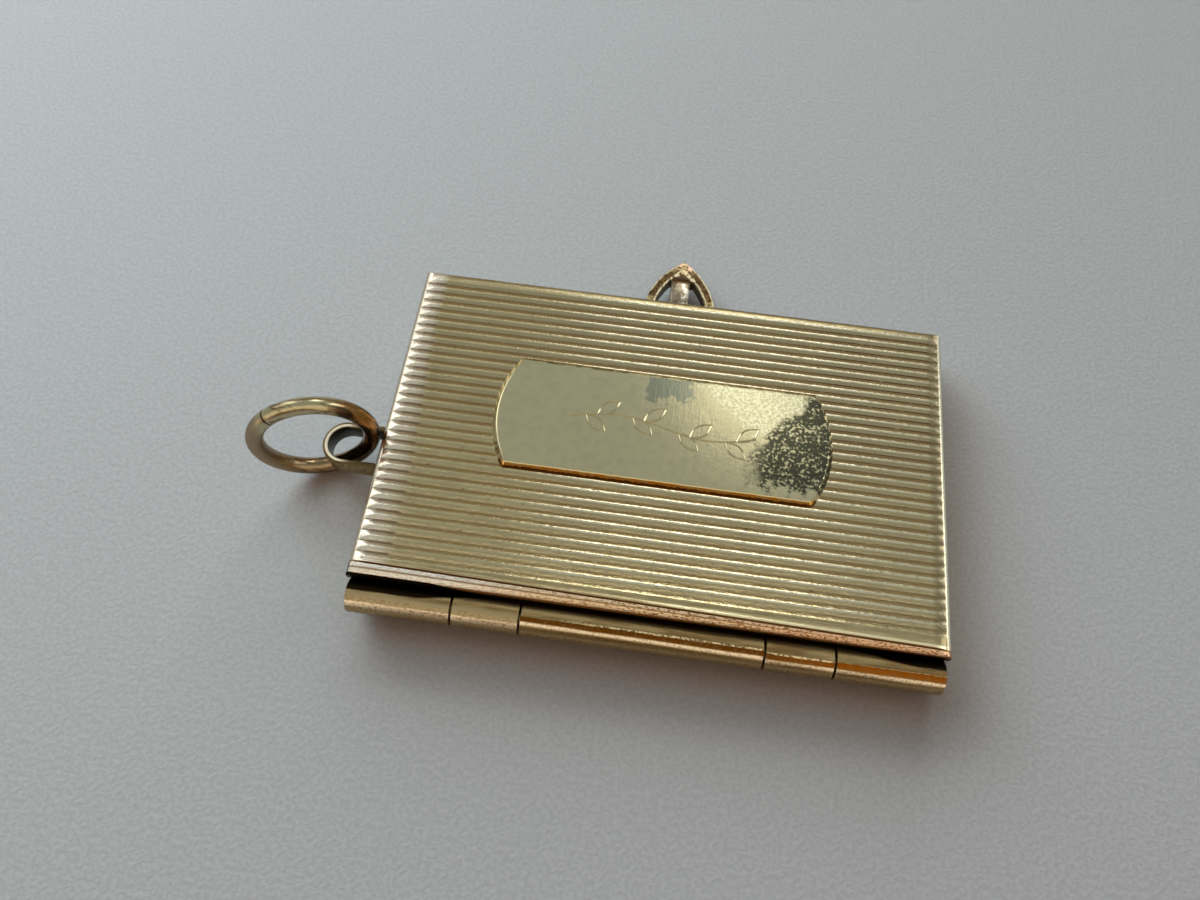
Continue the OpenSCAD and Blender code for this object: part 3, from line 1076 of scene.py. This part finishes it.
@dataclass(frozen=True)
class EyeFinish:
    """The bail eye: cream rims of wear with a painted highlight at the left, an inside painted dark as shade
    and a khaki outer wall.

    Args:
        centre: Middle of its round end (x, y).
        inner_radius: Radius of its inside.
        top: Height of its upper rim.
    """

    centre: Pair
    inner_radius: float
    top: float
    khaki: Colour = (0.52, 0.40, 0.21)
    brown: Colour = (0.26, 0.18, 0.08)
    # Painted shade within the eye.
    inside: Colour = (0.035, 0.032, 0.016)
    rim: Colour = (0.17, 0.12, 0.055)
    # Cream wear with a painted highlight.
    wear_and_highlight: Colour = (1.0, 0.88, 0.70)

    def material(self) -> Material:
        """Draws the finish."""
        paint = Paint("eye_gold")
        (x, y), radius = self.centre, self.inner_radius
        fine = paint.noise(0.18, 4, seed=13)
        reach = paint.length(paint.math("MINIMUM", paint.minus(paint.x, x), 0.0), paint.minus(paint.y, y))
        colour = paint.mix(paint.span(fine, 0.35, 0.65), self.khaki, self.brown)
        # Painted shade: the inside of the eye is near black.
        colour = paint.mix(paint.span(reach, radius + 0.10, radius + 0.04), colour, self.inside)
        rim = paint.span(paint.z, self.top - 0.08, self.top - 0.03)
        colour = paint.mix(rim, colour, self.rim)
        # Cream line of wear on the rims, a painted highlight that shows only at the left.
        left = paint.span(paint.x, x + 0.5, x - 0.3)
        wear_and_highlight = paint.times(rim, left, paint.band(reach, radius + 0.05, radius + 0.15, 0.03))
        colour = paint.mix(wear_and_highlight, colour, self.wear_and_highlight)
        return paint.surface(colour, paint.between(fine, 0.22, 0.42), paint.bump(fine, 0.012))


@dataclass(frozen=True)
class RingFinish:
    """The jump ring: dull grey-brown at its outer bend, khaki above and lighter toward its top as painted
    light, and painted dark brown as shade where it passes the eye.

    Args:
        centre: Middle of the ring.
        radius: Radius of the wire's middle line.
    """

    centre: tuple[float, float, float]
    radius: float
    # Lower and upper tones: the upper part is lighter as painted light.
    low: Colour = (0.36, 0.26, 0.15)
    high: Colour = (0.56, 0.49, 0.30)
    streak: Colour = (0.22, 0.13, 0.06)
    outer: Colour = (0.36, 0.27, 0.175)
    # Rust streaks and the painted shade where the ring passes the eye.
    rust: Colour = (0.34, 0.17, 0.06)
    dark: Colour = (0.035, 0.02, 0.01)

    def material(self) -> Material:
        """Draws the finish."""
        paint = Paint("ring_tarnish")
        paint.round_place(self.centre, self.radius)
        x, _, z = self.centre
        fine = paint.noise(0.20, 4, (0.4, 1, 1), 15)
        streaks = paint.noise(0.45, 4, (0.3, 1, 1), 17)
        # Painted light: lighter toward the top of the standing ring.
        colour = paint.mix(paint.span(paint.z, z - 0.6, z + 1.0), self.low, self.high)
        colour = paint.mix(paint.span(streaks, 0.50, 0.62), colour, self.streak)
        outer = paint.span(paint.x, x - 1.6, x - 2.3)
        colour = paint.mix(outer, colour, self.outer)
        # Painted shade, streaked with rust, where the ring passes the eye.
        dark = paint.mix(paint.span(streaks, 0.42, 0.55), self.rust, self.dark)
        colour = paint.mix(paint.span(paint.x, x + 1.2, x + 2.2), colour, dark)
        roughness = paint.between(outer, paint.between(fine, 0.12, 0.26), paint.between(fine, 0.38, 0.5))
        relief = paint.plus(paint.times(fine, 0.6), streaks)
        return paint.surface(colour, roughness, paint.bump(relief, 0.03))


# Sub-assemblies

@dataclass
class FrontCover:
    """The ribbed front cover with its rim, plaque, catch tongue and two knuckles."""

    sizes: LocketSizes
    plaque_length: float = 17.5
    plaque_width: float = 6.45
    plaque_swell: float = 0.98
    plaque_height: float = 0.28
    plaque_bevel: float = 0.25
    plaque_shift: Pair = (-0.2, 0.8)
    plinth_drop: float = 0.18
    plaque_steps: int = 28
    rib_rows: int = 10
    rim_rows: int = 10
    columns: tuple[float, ...] = (-13.5, -13.2, -12, -8, -4, 0, 4, 8, 12, 13.2, 13.5)
    overhang: float = 0.4
    pin_gap: float = 0.05

    @property
    def fitting(self) -> Fitting:
        """Where the cover's pieces belong."""
        return Fitting(Body.FRONT, Slot.FRONT, "front_cover")

    def rib_height(self, share: float) -> float:
        """Height of the ribbed sheet at a place across one rib.

        Args:
            share: The place, from 0 at one groove to 1 at the next.

        Returns:
            The height in millimetres: a roof with a round crest.
        """
        sizes = self.sizes
        round_part = sizes.crest_round
        slope = math.sqrt((2 * share - 1) ** 2 + round_part**2) - round_part
        span = math.sqrt(1 + round_part**2) - round_part
        return sizes.thickness - sizes.groove_depth * slope / span

    def section(self) -> list[Pair]:
        """Outline of the cover across the hinge.

        Returns:
            Points (y, z) from the hinge side's lower edge over the rim, crease and ribs to the opening side.
        """
        sizes = self.sizes
        top, crease, half = sizes.thickness, sizes.crease_y, sizes.crease_half
        points = [(-sizes.half_width, sizes.front_bottom)]
        points += arc(-sizes.half_width + sizes.rim_radius, top - sizes.rim_radius,
                      sizes.rim_radius, 180, 90, self.rim_rows)
        points += [
            (crease - half, top),
            (crease - 0.4 * half, top - 0.8 * sizes.crease_depth),
            (crease, top - sizes.crease_depth),
            (crease + 0.4 * half, top - 0.8 * sizes.crease_depth),
            (crease + half, top),
        ]
        points += [(crease + half + 0.03 + 0.03 * step, top - sizes.band_sink * step * step / 16)
                   for step in range(5)]
        points += [(sizes.first_crest - 0.10, top - sizes.band_sink),
                   (sizes.first_crest - 0.05, top - sizes.band_sink / 3)]
        points += [(sizes.first_groove - sizes.pitch * share, self.rib_height(share))
                   for share in (0.5, 0.4, 0.3, 0.2, 0.1)]
        rows = self.rib_rows
        for row in range(rows * (sizes.groove_count - 1)):
            points.append((sizes.first_groove + row * sizes.pitch / rows, self.rib_height(row % rows / rows)))
        points += [(sizes.last_groove + sizes.pitch * share, self.rib_height(share))
                   for share in (0.0, 0.1, 0.2, 0.3, 0.4, 0.5)]
        points += arc(sizes.half_width - sizes.edge_radius, top - sizes.edge_radius,
                      sizes.edge_radius, 90, 0, 6)
        return points + [(sizes.half_width, sizes.front_bottom)]

    def lean_crease(self, cover: Object) -> None:
        """Turns the crease a little, so that the rim is wider at the left than at the right.

        Args:
            cover: The cover, in millimetres.
        """
        sizes = self.sizes
        near, far = -sizes.half_width, sizes.first_crest
        for corner in cover.data.vertices:
            y = corner.co.y
            share = (y - near) / sizes.rim_width if y < sizes.crease_y else (far - y) / (far - sizes.crease_y)
            corner.co.y -= sizes.crease_lean * corner.co.x * max(0.0, share)

    def shoulder_section(self) -> list[Pair]:
        """Outline of the cover along the hinge, with a soft shoulder at both ends.

        Returns:
            Points (x, z) from the lower left to the lower right.
        """
        sizes = self.sizes
        radius, small, end = sizes.shoulder_radius, sizes.edge_radius, sizes.half_length
        centre = sizes.thickness - radius
        turn = math.degrees(math.acos((small - sizes.shoulder_width) / (radius - small)))
        corner = centre + (radius - small) * math.sin(math.radians(turn))
        left = [(-end, sizes.front_bottom)]
        left += arc(-end + small, corner, small, 180, turn, 6)
        left += arc(-end + sizes.shoulder_width, centre, radius, turn, 90, 10)[1:]
        return left + [(-x, z) for x, z in reversed(left)]

    def sheet(self) -> Object:
        """Builds the pressed cover: ribs, shoulders, hollow inside and the recesses for the knuckles.

        Returns:
            The cover, in millimetres.
        """
        sizes = self.sizes
        end = sizes.half_length + self.overhang
        columns = [-end, *self.columns, end]
        outline = [Vector((-end, y, z)) for y, z in self.section()]
        pushes = [Vector((b - a, 0, 0)) for a, b in zip(columns, columns[1:])]
        cover = outline_solid("cover", outline, pushes)
        self.lean_crease(cover)
        depth = sizes.half_width + PAST
        shoulders = [Vector((x, -depth, z)) for x, z in self.shoulder_section()]
        combine(cover, outline_solid("shoulders", shoulders, [Vector((0, 2 * depth, 0))]), Boolean.COMMON)
        combine(cover, hollow(sizes, sizes.front_bottom - PAST, sizes.ceiling), Boolean.CUT)
        half_gap = sizes.knuckle_gap / 2
        for start, stop in (
            (-sizes.half_length - PAST, -sizes.outer_joint + half_gap),
            (-sizes.inner_joint - half_gap, sizes.inner_joint + half_gap),
            (sizes.outer_joint - half_gap, sizes.half_length + PAST),
        ):
            combine(cover, on_axis(sizes, start, stop, sizes.recess_radius), Boolean.CUT)
        clean(cover)
        return cover

    def plaque_outline(self) -> list[Vector]:
        """Outline of the plaque: straight long sides and swelling ends.

        Returns:
            Corners in order, at the plaque's lower face.
        """
        x, y = self.plaque_shift
        half_x, half_y = self.plaque_length / 2, self.plaque_width / 2
        radius = (half_y**2 + self.plaque_swell**2) / (2 * self.plaque_swell)
        turn = math.degrees(math.asin(half_y / radius))
        points = arc(x + half_x - radius, y, radius, -turn, turn, self.plaque_steps)
        points += arc(x + radius - half_x, y, radius, 180 - turn, 180 + turn, self.plaque_steps)
        low = self.sizes.thickness - self.plinth_drop
        return [Vector((px, py, low)) for px, py in points]

    def plaque(self) -> Object:
        """Builds the raised plaque with its bevel all round and its engraving.

        Returns:
            The plaque, in millimetres.
        """
        plate = outline_solid("plaque", self.plaque_outline(), [Vector((0, 0, self.plinth_drop))])
        with editing(plate):
            pick(plate, Pick.FACES, lambda face: face.normal.z > 0.9)
            bpy.ops.mesh.inset(thickness=self.plaque_bevel, depth=self.plaque_height)
        soften(plate, 0.05, 3, 25)
        for cutter in Sprig(self.plaque_shift).cutters(self.sizes.thickness + self.plaque_height):
            combine(plate, cutter, Boolean.CUT)
        clean(plate)
        return plate

    def tongue(self) -> Object:
        """Builds the catch tongue: a strip out of the wall that bends down into the loop.

        Returns:
            The tongue, in millimetres.
        """
        catch = Catch(self.sizes)
        half = catch.tongue_width / 2
        start_y = self.sizes.half_width - WELD
        bend_y = catch.tongue_end - catch.tongue_bend
        strip = block(
            "tongue",
            (catch.tongue_shift - half, start_y, catch.tongue_top - catch.tongue_thickness),
            (catch.tongue_shift + half, bend_y, catch.tongue_top),
        )
        centre = (catch.tongue_shift, bend_y, catch.tongue_top - catch.tongue_bend)
        with editing(strip):
            pick(strip, Pick.FACES, lambda face: face.normal.y > 0.9)
            bpy.ops.mesh.spin(steps=8, angle=math.radians(90), center=centre, axis=(1, 0, 0))
            drop = centre[2] - catch.tongue_low
            bpy.ops.mesh.extrude_region_move(TRANSFORM_OT_translate={"value": (0, 0, -drop)})
        clean(strip)
        soften(strip, 0.1, 3, 40)
        return strip

    def build(self) -> None:
        """Builds and dresses all pieces of the front cover."""
        sizes = self.sizes
        near, far = (self.plaque_shift[1] + side * self.plaque_width / 2 for side in (-1, 1))
        plated = PlaqueFinish(sizes.thickness, sizes.thickness + self.plaque_height, near, far).material()
        barrel = BarrelFinish(sizes, "front_barrel_gold").material()
        self.fitting.finish(self.sheet(), "ribbed_cover", CoverFinish(sizes).material(), 35)
        self.fitting.finish(self.plaque(), "plaque", plated, 8)
        self.fitting.finish(self.tongue(), "catch_tongue", TongueFinish(Catch(sizes)).material())
        half_gap = sizes.knuckle_gap / 2
        near_end, far_end = sizes.inner_joint + half_gap, sizes.outer_joint - half_gap
        for name, start, end in (("left", -far_end, -near_end), ("right", near_end, far_end)):
            piece = knuckle(sizes, start, end, sizes.pin_radius + self.pin_gap)
            self.fitting.finish(piece, f"front_knuckle_{name}", barrel)


@dataclass(frozen=True)
class Sprig:
    """The plaque's engraving: a plain sprig of paired leaves on a waving stem, in fine round grooves.

    Args:
        centre: Middle of the engraving (x, y).
    """

    centre: Pair
    length: float = 9.6
    wave: float = 0.42
    leaf: float = 1.35
    leaf_width: float = 0.30
    leaf_lean: float = 38.0
    leaf_pairs: int = 4
    leaf_steps: int = 12
    stem_steps: int = 40
    line: float = 0.055
    depth: float = 0.035

    def stem_place(self, share: float) -> Pair:
        """A point of the stem, from 0 at its left end to 1 at its right."""
        swing = self.wave * math.sin(2 * math.pi * share)
        return self.centre[0] + self.length * (share - 0.5), self.centre[1] + swing

    def leaf_outline(self, share: float, side: int) -> list[Pair]:
        """Outline of one leaf: two bows that meet in a point.

        Args:
            share: Where it grows on the stem.
            side: 1 for the far side of the stem, -1 for the near side.

        Returns:
            Points from its root over its tip and back.
        """
        x, y = self.stem_place(share)
        lean = math.radians(self.leaf_lean * side)
        tip = self.leaf_steps
        points = []
        for step in range(2 * tip + 1):
            way = step / tip if step <= tip else 2 - step / tip
            bow = self.leaf_width * math.sin(math.pi * way) * (1 if step <= tip else -1)
            along = self.leaf * way
            points.append((x + along * math.cos(lean) - bow * math.sin(lean),
                           y + along * math.sin(lean) + bow * math.cos(lean)))
        return points

    def groove(self, name: str, points: list[Pair], top: float) -> Object:
        """Builds a thin round bar along a line, which cuts a shallow groove.

        Args:
            name: Name of the bar.
            points: The line's points (x, y).
            top: Height of the face that is engraved.

        Returns:
            The bar, in millimetres.
        """
        curve = bpy.data.curves.new(name, "CURVE")
        curve.dimensions = "3D"
        curve.bevel_depth = self.line
        curve.bevel_resolution = 2
        curve.use_fill_caps = True
        spline = curve.splines.new("POLY")
        spline.points.add(len(points) - 1)
        for point, (x, y) in zip(spline.points, points):
            point.co = (x, y, top + self.line - self.depth, 1)
        bar = bpy.data.objects.new(name, curve)
        bpy.context.scene.collection.objects.link(bar)
        hold(bar)
        bpy.ops.object.convert(target="MESH")
        clean(bar)
        return bar

    def cutters(self, top: float) -> Iterator[Object]:
        """Builds the bars for the stem and all leaves, one by one.

        Args:
            top: Height of the face that is engraved.

        Yields:
            Each bar, in millimetres.
        """
        stem = [self.stem_place(step / self.stem_steps) for step in range(self.stem_steps + 1)]
        yield self.groove("stem", stem, top)
        for pair in range(self.leaf_pairs):
            for side in (-1, 1):
                share = (pair + 0.35 + 0.25 * (side > 0)) / self.leaf_pairs
                outline = self.leaf_outline(share, side)
                yield self.groove("leaf_far_edge", outline[:self.leaf_steps + 1], top)
                yield self.groove("leaf_near_edge", outline[self.leaf_steps:], top)


@dataclass
class Catch:
    """Sizes of the pointed loop and of the tongue that springs into it."""

    sizes: LocketSizes
    loop_half_width: float = 2.1
    loop_reach: float = 3.9
    arm: float = 0.55
    nose: float = 1.35
    bottom: float = 0.5
    thickness: float = 0.8
    tongue_width: float = 1.04
    tongue_shift: float = -0.1
    tongue_thickness: float = 0.55
    tongue_gap: float = 0.12
    tongue_bend: float = 0.9
    tongue_rise: float = 0.95
    tongue_lift: float = 0.25

    @property
    def side_radius(self) -> float:
        """Radius of the loop's two outer sides."""
        return (self.loop_reach**2 + self.loop_half_width**2) / (2 * self.loop_half_width)

    @property
    def top(self) -> float:
        """Height of the loop's upper face."""
        return self.bottom + self.thickness

    @property
    def hole_top(self) -> float:
        """Place of the opening's far end."""
        return self.sizes.half_width + self.loop_reach - self.nose

    @property
    def tongue_end(self) -> float:
        """Place of the tongue's outer face."""
        return self.hole_top - self.tongue_gap

    @property
    def tongue_top(self) -> float:
        """Height of the tongue's upper face."""
        return self.sizes.axis_z + self.tongue_rise

    @property
    def tongue_low(self) -> float:
        """Height of the tongue's lower end."""
        return self.bottom + self.tongue_lift


@dataclass
class BackCover:
    """The plain back cover with the catch loop, the bail eye and three knuckles."""

    sizes: LocketSizes
    eye_inner_radius: float = 0.9
    eye_strip: float = 0.3
    eye_reach: float = 1.95
    eye_place: float = -1.9
    eye_bottom: float = 1.0
    eye_height: float = 1.15
    eye_side_gap: float = 0.14
    pin_gap: float = 0.02

    @property
    def fitting(self) -> Fitting:
        """Where the cover's pieces belong."""
        return Fitting(Body.BACK, Slot.BACK, "back_cover")

    @property
    def eye_top(self) -> float:
        """Height of the eye's upper rim."""
        return self.eye_bottom + self.eye_height

    def tray(self) -> Object:
        """Builds the plain tray with rounded outer edges and the recesses for the front's knuckles.

        Returns:
            The tray, in millimetres.
        """
        sizes = self.sizes
        end, side = sizes.half_length, sizes.half_width
        tray = block("tray", (-end, -side, 0), (end, side, sizes.back_top))
        with editing(tray, Pick.EDGES):
            pick(tray, Pick.EDGES, lambda edge: middle(edge).z < 0.01)
            bpy.ops.mesh.bevel(offset=sizes.edge_radius, segments=6, affect="EDGES")
        combine(tray, hollow(sizes, sizes.sheet, sizes.back_top + PAST), Boolean.CUT)
        half_gap = sizes.knuckle_gap / 2
        near_end, far_end = sizes.inner_joint - half_gap, sizes.outer_joint + half_gap
        for start, stop in ((-far_end, -near_end), (near_end, far_end)):
            combine(tray, on_axis(sizes, start, stop, sizes.recess_radius), Boolean.CUT)
        clean(tray)
        soften(tray, 0.05, 2, 40)
        return tray

    def pointed_arch(self, radius: float, low: float, high: float, reach: Pair) -> Object:
        """Builds a pointed arch where two round discs overlap.

        Args:
            radius: Radius of both sides.
            low: Height of the lower face.
            high: Height of the upper face.
            reach: Where the arch starts and ends across the locket.

        Returns:
            The arch, in millimetres.
        """
        catch = Catch(self.sizes)
        base = self.sizes.half_width
        offset = catch.side_radius - catch.loop_half_width
        arch = rod("arch", (offset, base, low), (offset, base, high), radius, 192)
        other = rod("other_side", (-offset, base, low - PAST), (-offset, base, high + PAST), radius, 192)
        combine(arch, other, Boolean.COMMON)
        wide = catch.loop_half_width + PAST
        keep = block("keep", (-wide, reach[0], low - PAST), (wide, reach[1], high + PAST))
        combine(arch, keep, Boolean.COMMON)
        return arch

    def catch_loop(self) -> Object:
        """Builds the catch loop: two slender arms that meet in a solid nose.

        Returns:
            The loop, in millimetres.
        """
        catch = Catch(self.sizes)
        base = self.sizes.half_width
        whole = (base - WELD, base + catch.loop_reach + PAST)
        loop = self.pointed_arch(catch.side_radius, catch.bottom, catch.top, whole)
        inner = catch.side_radius - catch.arm
        opening = self.pointed_arch(inner, catch.bottom - PAST, catch.top + PAST, (base, catch.hole_top))
        combine(loop, opening, Boolean.CUT)
        clean(loop)
        soften(loop, 0.24, 5, 35)
        return loop

    def bail_eye(self) -> Object:
        """Builds the upright strip that is bent round and soldered by both ends.

        Returns:
            The eye, in millimetres.
        """
        sizes = self.sizes
        eye_x = -sizes.half_length - self.eye_reach
        outer, top = self.eye_inner_radius + self.eye_strip, self.eye_top
        strip = block(
            "eye",
            (eye_x, self.eye_place + self.eye_inner_radius, self.eye_bottom),
            (-sizes.half_length + WELD, self.eye_place + outer, top),
        )
        centre = (eye_x, self.eye_place, (self.eye_bottom + top) / 2)
        with editing(strip):
            pick(strip, Pick.FACES, lambda face: face.normal.x < -0.9)
            bpy.ops.mesh.spin(steps=24, angle=math.radians(180), center=centre, axis=(0, 0, -1))
            bpy.ops.mesh.extrude_region_move(
                TRANSFORM_OT_translate={"value": (self.eye_reach + WELD, 0, 0)}
            )
        clean(strip)
        clear = block(
            "clear",
            (-sizes.half_length - self.eye_side_gap, self.eye_place - outer - PAST, sizes.back_top),
            (-sizes.half_length + PAST, self.eye_place + outer + PAST, top + PAST),
        )
        combine(strip, clear, Boolean.CUT)
        clean(strip)
        soften(strip, 0.07, 3, 35)
        return strip

    def build(self) -> None:
        """Builds and dresses all pieces of the back cover."""
        sizes = self.sizes
        catch = Catch(sizes)
        eye_centre = (-sizes.half_length - self.eye_reach, self.eye_place)
        eye = EyeFinish(eye_centre, self.eye_inner_radius, self.eye_top)
        barrel = BarrelFinish(sizes, "back_barrel_gold").material()
        self.fitting.finish(self.tray(), "back_tray", GoldFinish("tray_gold").material())
        self.fitting.finish(self.catch_loop(), "catch_loop", LoopFinish(catch).material())
        self.fitting.finish(self.bail_eye(), "bail_eye", eye.material())
        half_gap = sizes.knuckle_gap / 2
        for name, start, end in (
            ("left", -sizes.barrel_half, -sizes.outer_joint - half_gap),
            ("middle", -sizes.inner_joint + half_gap, sizes.inner_joint - half_gap),
            ("right", sizes.outer_joint + half_gap, sizes.barrel_half),
        ):
            piece = knuckle(sizes, start, end, sizes.pin_radius + self.pin_gap)
            self.fitting.finish(piece, f"back_knuckle_{name}", barrel)


@dataclass
class HingePin:
    """The plain wire inside the barrel."""

    sizes: LocketSizes

    def build(self) -> None:
        """Builds and dresses the pin, with its ends rounded."""
        half = self.sizes.barrel_half - self.sizes.pin_inset
        pin = on_axis(self.sizes, -half, half, self.sizes.pin_radius)
        soften(pin, 0.06, 3, 40)
        Fitting(Body.BACK, Slot.PIN, "hinge_pin").finish(pin, "pin_wire", GoldFinish("pin_gold").material())


@dataclass
class JumpRing:
    """The split round wire that stands on its edge and passes through the bail eye."""

    radius: float = 2.8
    wire: float = 0.43
    turn: float = 19.0
    lean: float = 85.0
    split_at: float = 123.0
    steps: int = 225
    centre: tuple[float, float, float] = (-17.479, -2.277, 3.229)

    def build(self) -> None:
        """Builds and dresses the ring, cut open at its seam."""
        deselect()
        bpy.ops.mesh.primitive_torus_add(
            major_radius=self.radius, minor_radius=self.wire, major_segments=self.steps, minor_segments=32
        )
        ring = bpy.context.object
        step = 2 * math.pi / self.steps
        cut = (int(math.radians(self.split_at) / step) + 0.5) * step

        def in_gap(face: bmesh.types.BMFace) -> bool:
            """Whether a face lies in the seam."""
            place = face.calc_center_median()
            return abs(math.atan2(place.y, place.x) - cut) < step / 2

        with editing(ring):
            pick(ring, Pick.FACES, in_gap)
            bpy.ops.mesh.delete(type="FACE")
            bpy.ops.mesh.select_mode(type=Pick.EDGES.value)
            bpy.ops.mesh.select_all(action="SELECT")
            bpy.ops.mesh.fill_holes(sides=0)
        ring.rotation_euler = (math.radians(self.lean), 0, math.radians(self.turn))
        ring.location = self.centre
        apply_place(ring)
        clean(ring)
        finish = RingFinish(self.centre, self.radius).material()
        Fitting(Body.BACK, Slot.RING, "jump_ring").finish(ring, "ring_wire", finish)


# Studio

class Shine(Enum):
    """What a light panel works on: reflections in the metal, or the floor."""

    METAL = "metal"
    FLOOR = "floor"


@dataclass(frozen=True)
class Panel:
    """A soft light panel that faces the locket.

    Args:
        name: Name of the light.
        elevation: Angle above the floor, in degrees.
        azimuth: Direction round the locket, in degrees from +Y toward +X.
        distance: Distance from the locket in millimetres.
        width: Width of the panel in millimetres.
        height: Height of the panel.
        glow: Brightness of its surface.
        colour: Its colour.
        shine: What it works on.
        oval: Whether it is oval rather than a rectangle.
        tilt: How far its right side is turned up, in degrees.
    """

    name: str
    elevation: float
    azimuth: float
    distance: float
    width: float
    height: float
    glow: float
    colour: Colour
    shine: Shine
    oval: bool = False
    tilt: float = 0.0

    def hang(self) -> None:
        """Adds the panel to the scene."""
        light = bpy.data.lights.new(self.name, "AREA")
        light.shape = "ELLIPSE" if self.oval else "RECTANGLE"
        light.size = self.width * MM
        light.size_y = self.height * MM
        light.energy = self.glow * 4 * light.size * light.size_y
        light.color = self.colour
        lamp = bpy.data.objects.new(self.name, light)
        bpy.context.scene.collection.objects.link(lamp)
        up, bearing = math.radians(self.elevation), math.radians(self.azimuth)
        way = Vector((math.cos(up) * math.sin(bearing), math.cos(up) * math.cos(bearing), math.sin(up)))
        lamp.location = way * self.distance * MM
        turn = way.to_track_quat("Z", "Y").to_matrix() @ Matrix.Rotation(math.radians(self.tilt), 3, "Z")
        lamp.rotation_euler = turn.to_euler()
        lamp.visible_diffuse = self.shine is Shine.FLOOR
        lamp.visible_glossy = self.shine is Shine.METAL


@dataclass(frozen=True)
class Studio:
    """The pale floor, the light and the camera. The room's colours run from -Y over the top to +Y."""

    camera_place: Vector = Vector((-1.308, -18.843, 41.918))
    camera_aim: Vector = Vector((-3.325, 0.572, 0.0))
    camera_roll: float = 2.13
    lens: float = 25.5
    sensor: float = 36.0
    floor_half: float = 900.0
    floor_dark: Colour = (0.405, 0.43, 0.445)
    floor_pale: Colour = (0.465, 0.49, 0.505)
    room: tuple[tuple[float, Colour], ...] = (
        (-1.0, (0.20, 0.12, 0.06)),
        (-0.93, (0.20, 0.14, 0.085)),
        (-0.85, (0.80, 0.68, 0.52)),
        (-0.48, (0.94, 0.86, 0.72)),
        (-0.36, (0.40, 0.40, 0.36)),
        (0.6, (0.38, 0.42, 0.42)),
        (0.8, (0.26, 0.22, 0.15)),
        (1.0, (0.26, 0.21, 0.15)),
    )

    def floor(self) -> None:
        """Adds the pale floor with a fine grain."""
        deselect()
        bpy.ops.mesh.primitive_plane_add(size=2 * self.floor_half * MM)
        floor = bpy.context.object
        floor.name = "floor"
        paint = Paint("pale_floor")
        grain = paint.span(paint.noise(0.22, 3), 0.3, 0.7)
        colour = paint.mix(grain, self.floor_dark, self.floor_pale)
        floor.data.materials.append(paint.surface(colour, 0.6, paint.bump(grain, 0.008), metallic=0.0))

    def sky(self) -> None:
        """Sets the room's light, from dark and warm on the hinge side over grey above to brown beyond."""
        world = bpy.data.worlds.new("room")
        bpy.context.scene.world = world
        world.use_nodes = True
        tree = world.node_tree
        tree.nodes.clear()
        coordinates = tree.nodes.new("ShaderNodeTexCoord")
        split = tree.nodes.new("ShaderNodeSeparateXYZ")
        tree.links.new(coordinates.outputs["Generated"], split.inputs[0])
        half = tree.nodes.new("ShaderNodeMath")
        half.operation = "MULTIPLY_ADD"
        half.inputs[1].default_value = 0.5
        half.inputs[2].default_value = 0.5
        tree.links.new(split.outputs[1], half.inputs[0])
        ramp = tree.nodes.new("ShaderNodeValToRGB")
        tree.links.new(half.outputs[0], ramp.inputs[0])
        stops = ramp.color_ramp.elements
        for _ in range(len(self.room) - 2):
            stops.new(0.5)
        for stop, (way, colour) in zip(stops, self.room):
            stop.position = 0.5 + 0.5 * way
            stop.color = (*colour, 1)
        world.cycles_visibility.diffuse = False
        background = tree.nodes.new("ShaderNodeBackground")
        tree.links.new(ramp.outputs[0], background.inputs["Color"])
        output = tree.nodes.new("ShaderNodeOutputWorld")
        tree.links.new(background.outputs[0], output.inputs["Surface"])

    def camera(self) -> None:
        """Adds the camera at the photograph's angle."""
        data = bpy.data.cameras.new("camera")
        data.sensor_width = self.sensor
        data.lens = self.lens
        data.clip_start = 0.001
        ahead = (self.camera_aim - self.camera_place).normalized()
        level = ahead.cross(UP).normalized()
        above = level.cross(ahead)
        roll = math.radians(self.camera_roll)
        right = level * math.cos(roll) + above * math.sin(roll)
        top = above * math.cos(roll) - level * math.sin(roll)
        camera = bpy.data.objects.new("camera", data)
        bpy.context.scene.collection.objects.link(camera)
        turn = Matrix((right, top, -ahead)).transposed()
        camera.matrix_world = Matrix.Translation(self.camera_place * MM) @ turn.to_4x4()
        bpy.context.scene.camera = camera

    def build(self) -> None:
        """Sets up the floor, the light and the camera."""
        self.floor()
        self.sky()
        self.camera()
        for panel in (
            Panel("window", 48.5, 6, 600, 200, 84, 3.3, (1.0, 0.98, 0.92), Shine.METAL),
            Panel("window_top", 60, 15, 600, 120, 62, 0.52, (1.0, 0.97, 0.84), Shine.METAL, True, -12),
            Panel("left_wall", 41, -55, 700, 330, 470, 0.9, (1.0, 1.0, 0.97), Shine.METAL),
            Panel("right_wall", 38, 66, 700, 260, 300, 2.0, (1.0, 1.0, 1.0), Shine.METAL),
            Panel("far_light", 24, -22, 700, 900, 340, 5.5, (0.92, 1.0, 1.0), Shine.FLOOR),
            Panel("left_light", 36, -62, 160, 120, 120, 2.0, (0.84, 0.97, 1.0), Shine.FLOOR),
            Panel("overhead", 68, 180, 500, 700, 700, 0.38, (1.0, 0.58, 0.40), Shine.FLOOR),
        ):
            panel.hang()
        bpy.context.scene.view_settings.view_transform = "Standard"


def main() -> None:
    """Builds the locket and its studio."""
    logging.basicConfig(level=logging.INFO, format="%(name)s: %(message)s")
    sizes = measured_sizes()
    for part in (FrontCover(sizes), BackCover(sizes), HingePin(sizes), JumpRing()):
        part.build()
    Studio().build()


if __name__ == "__main__":
    main()
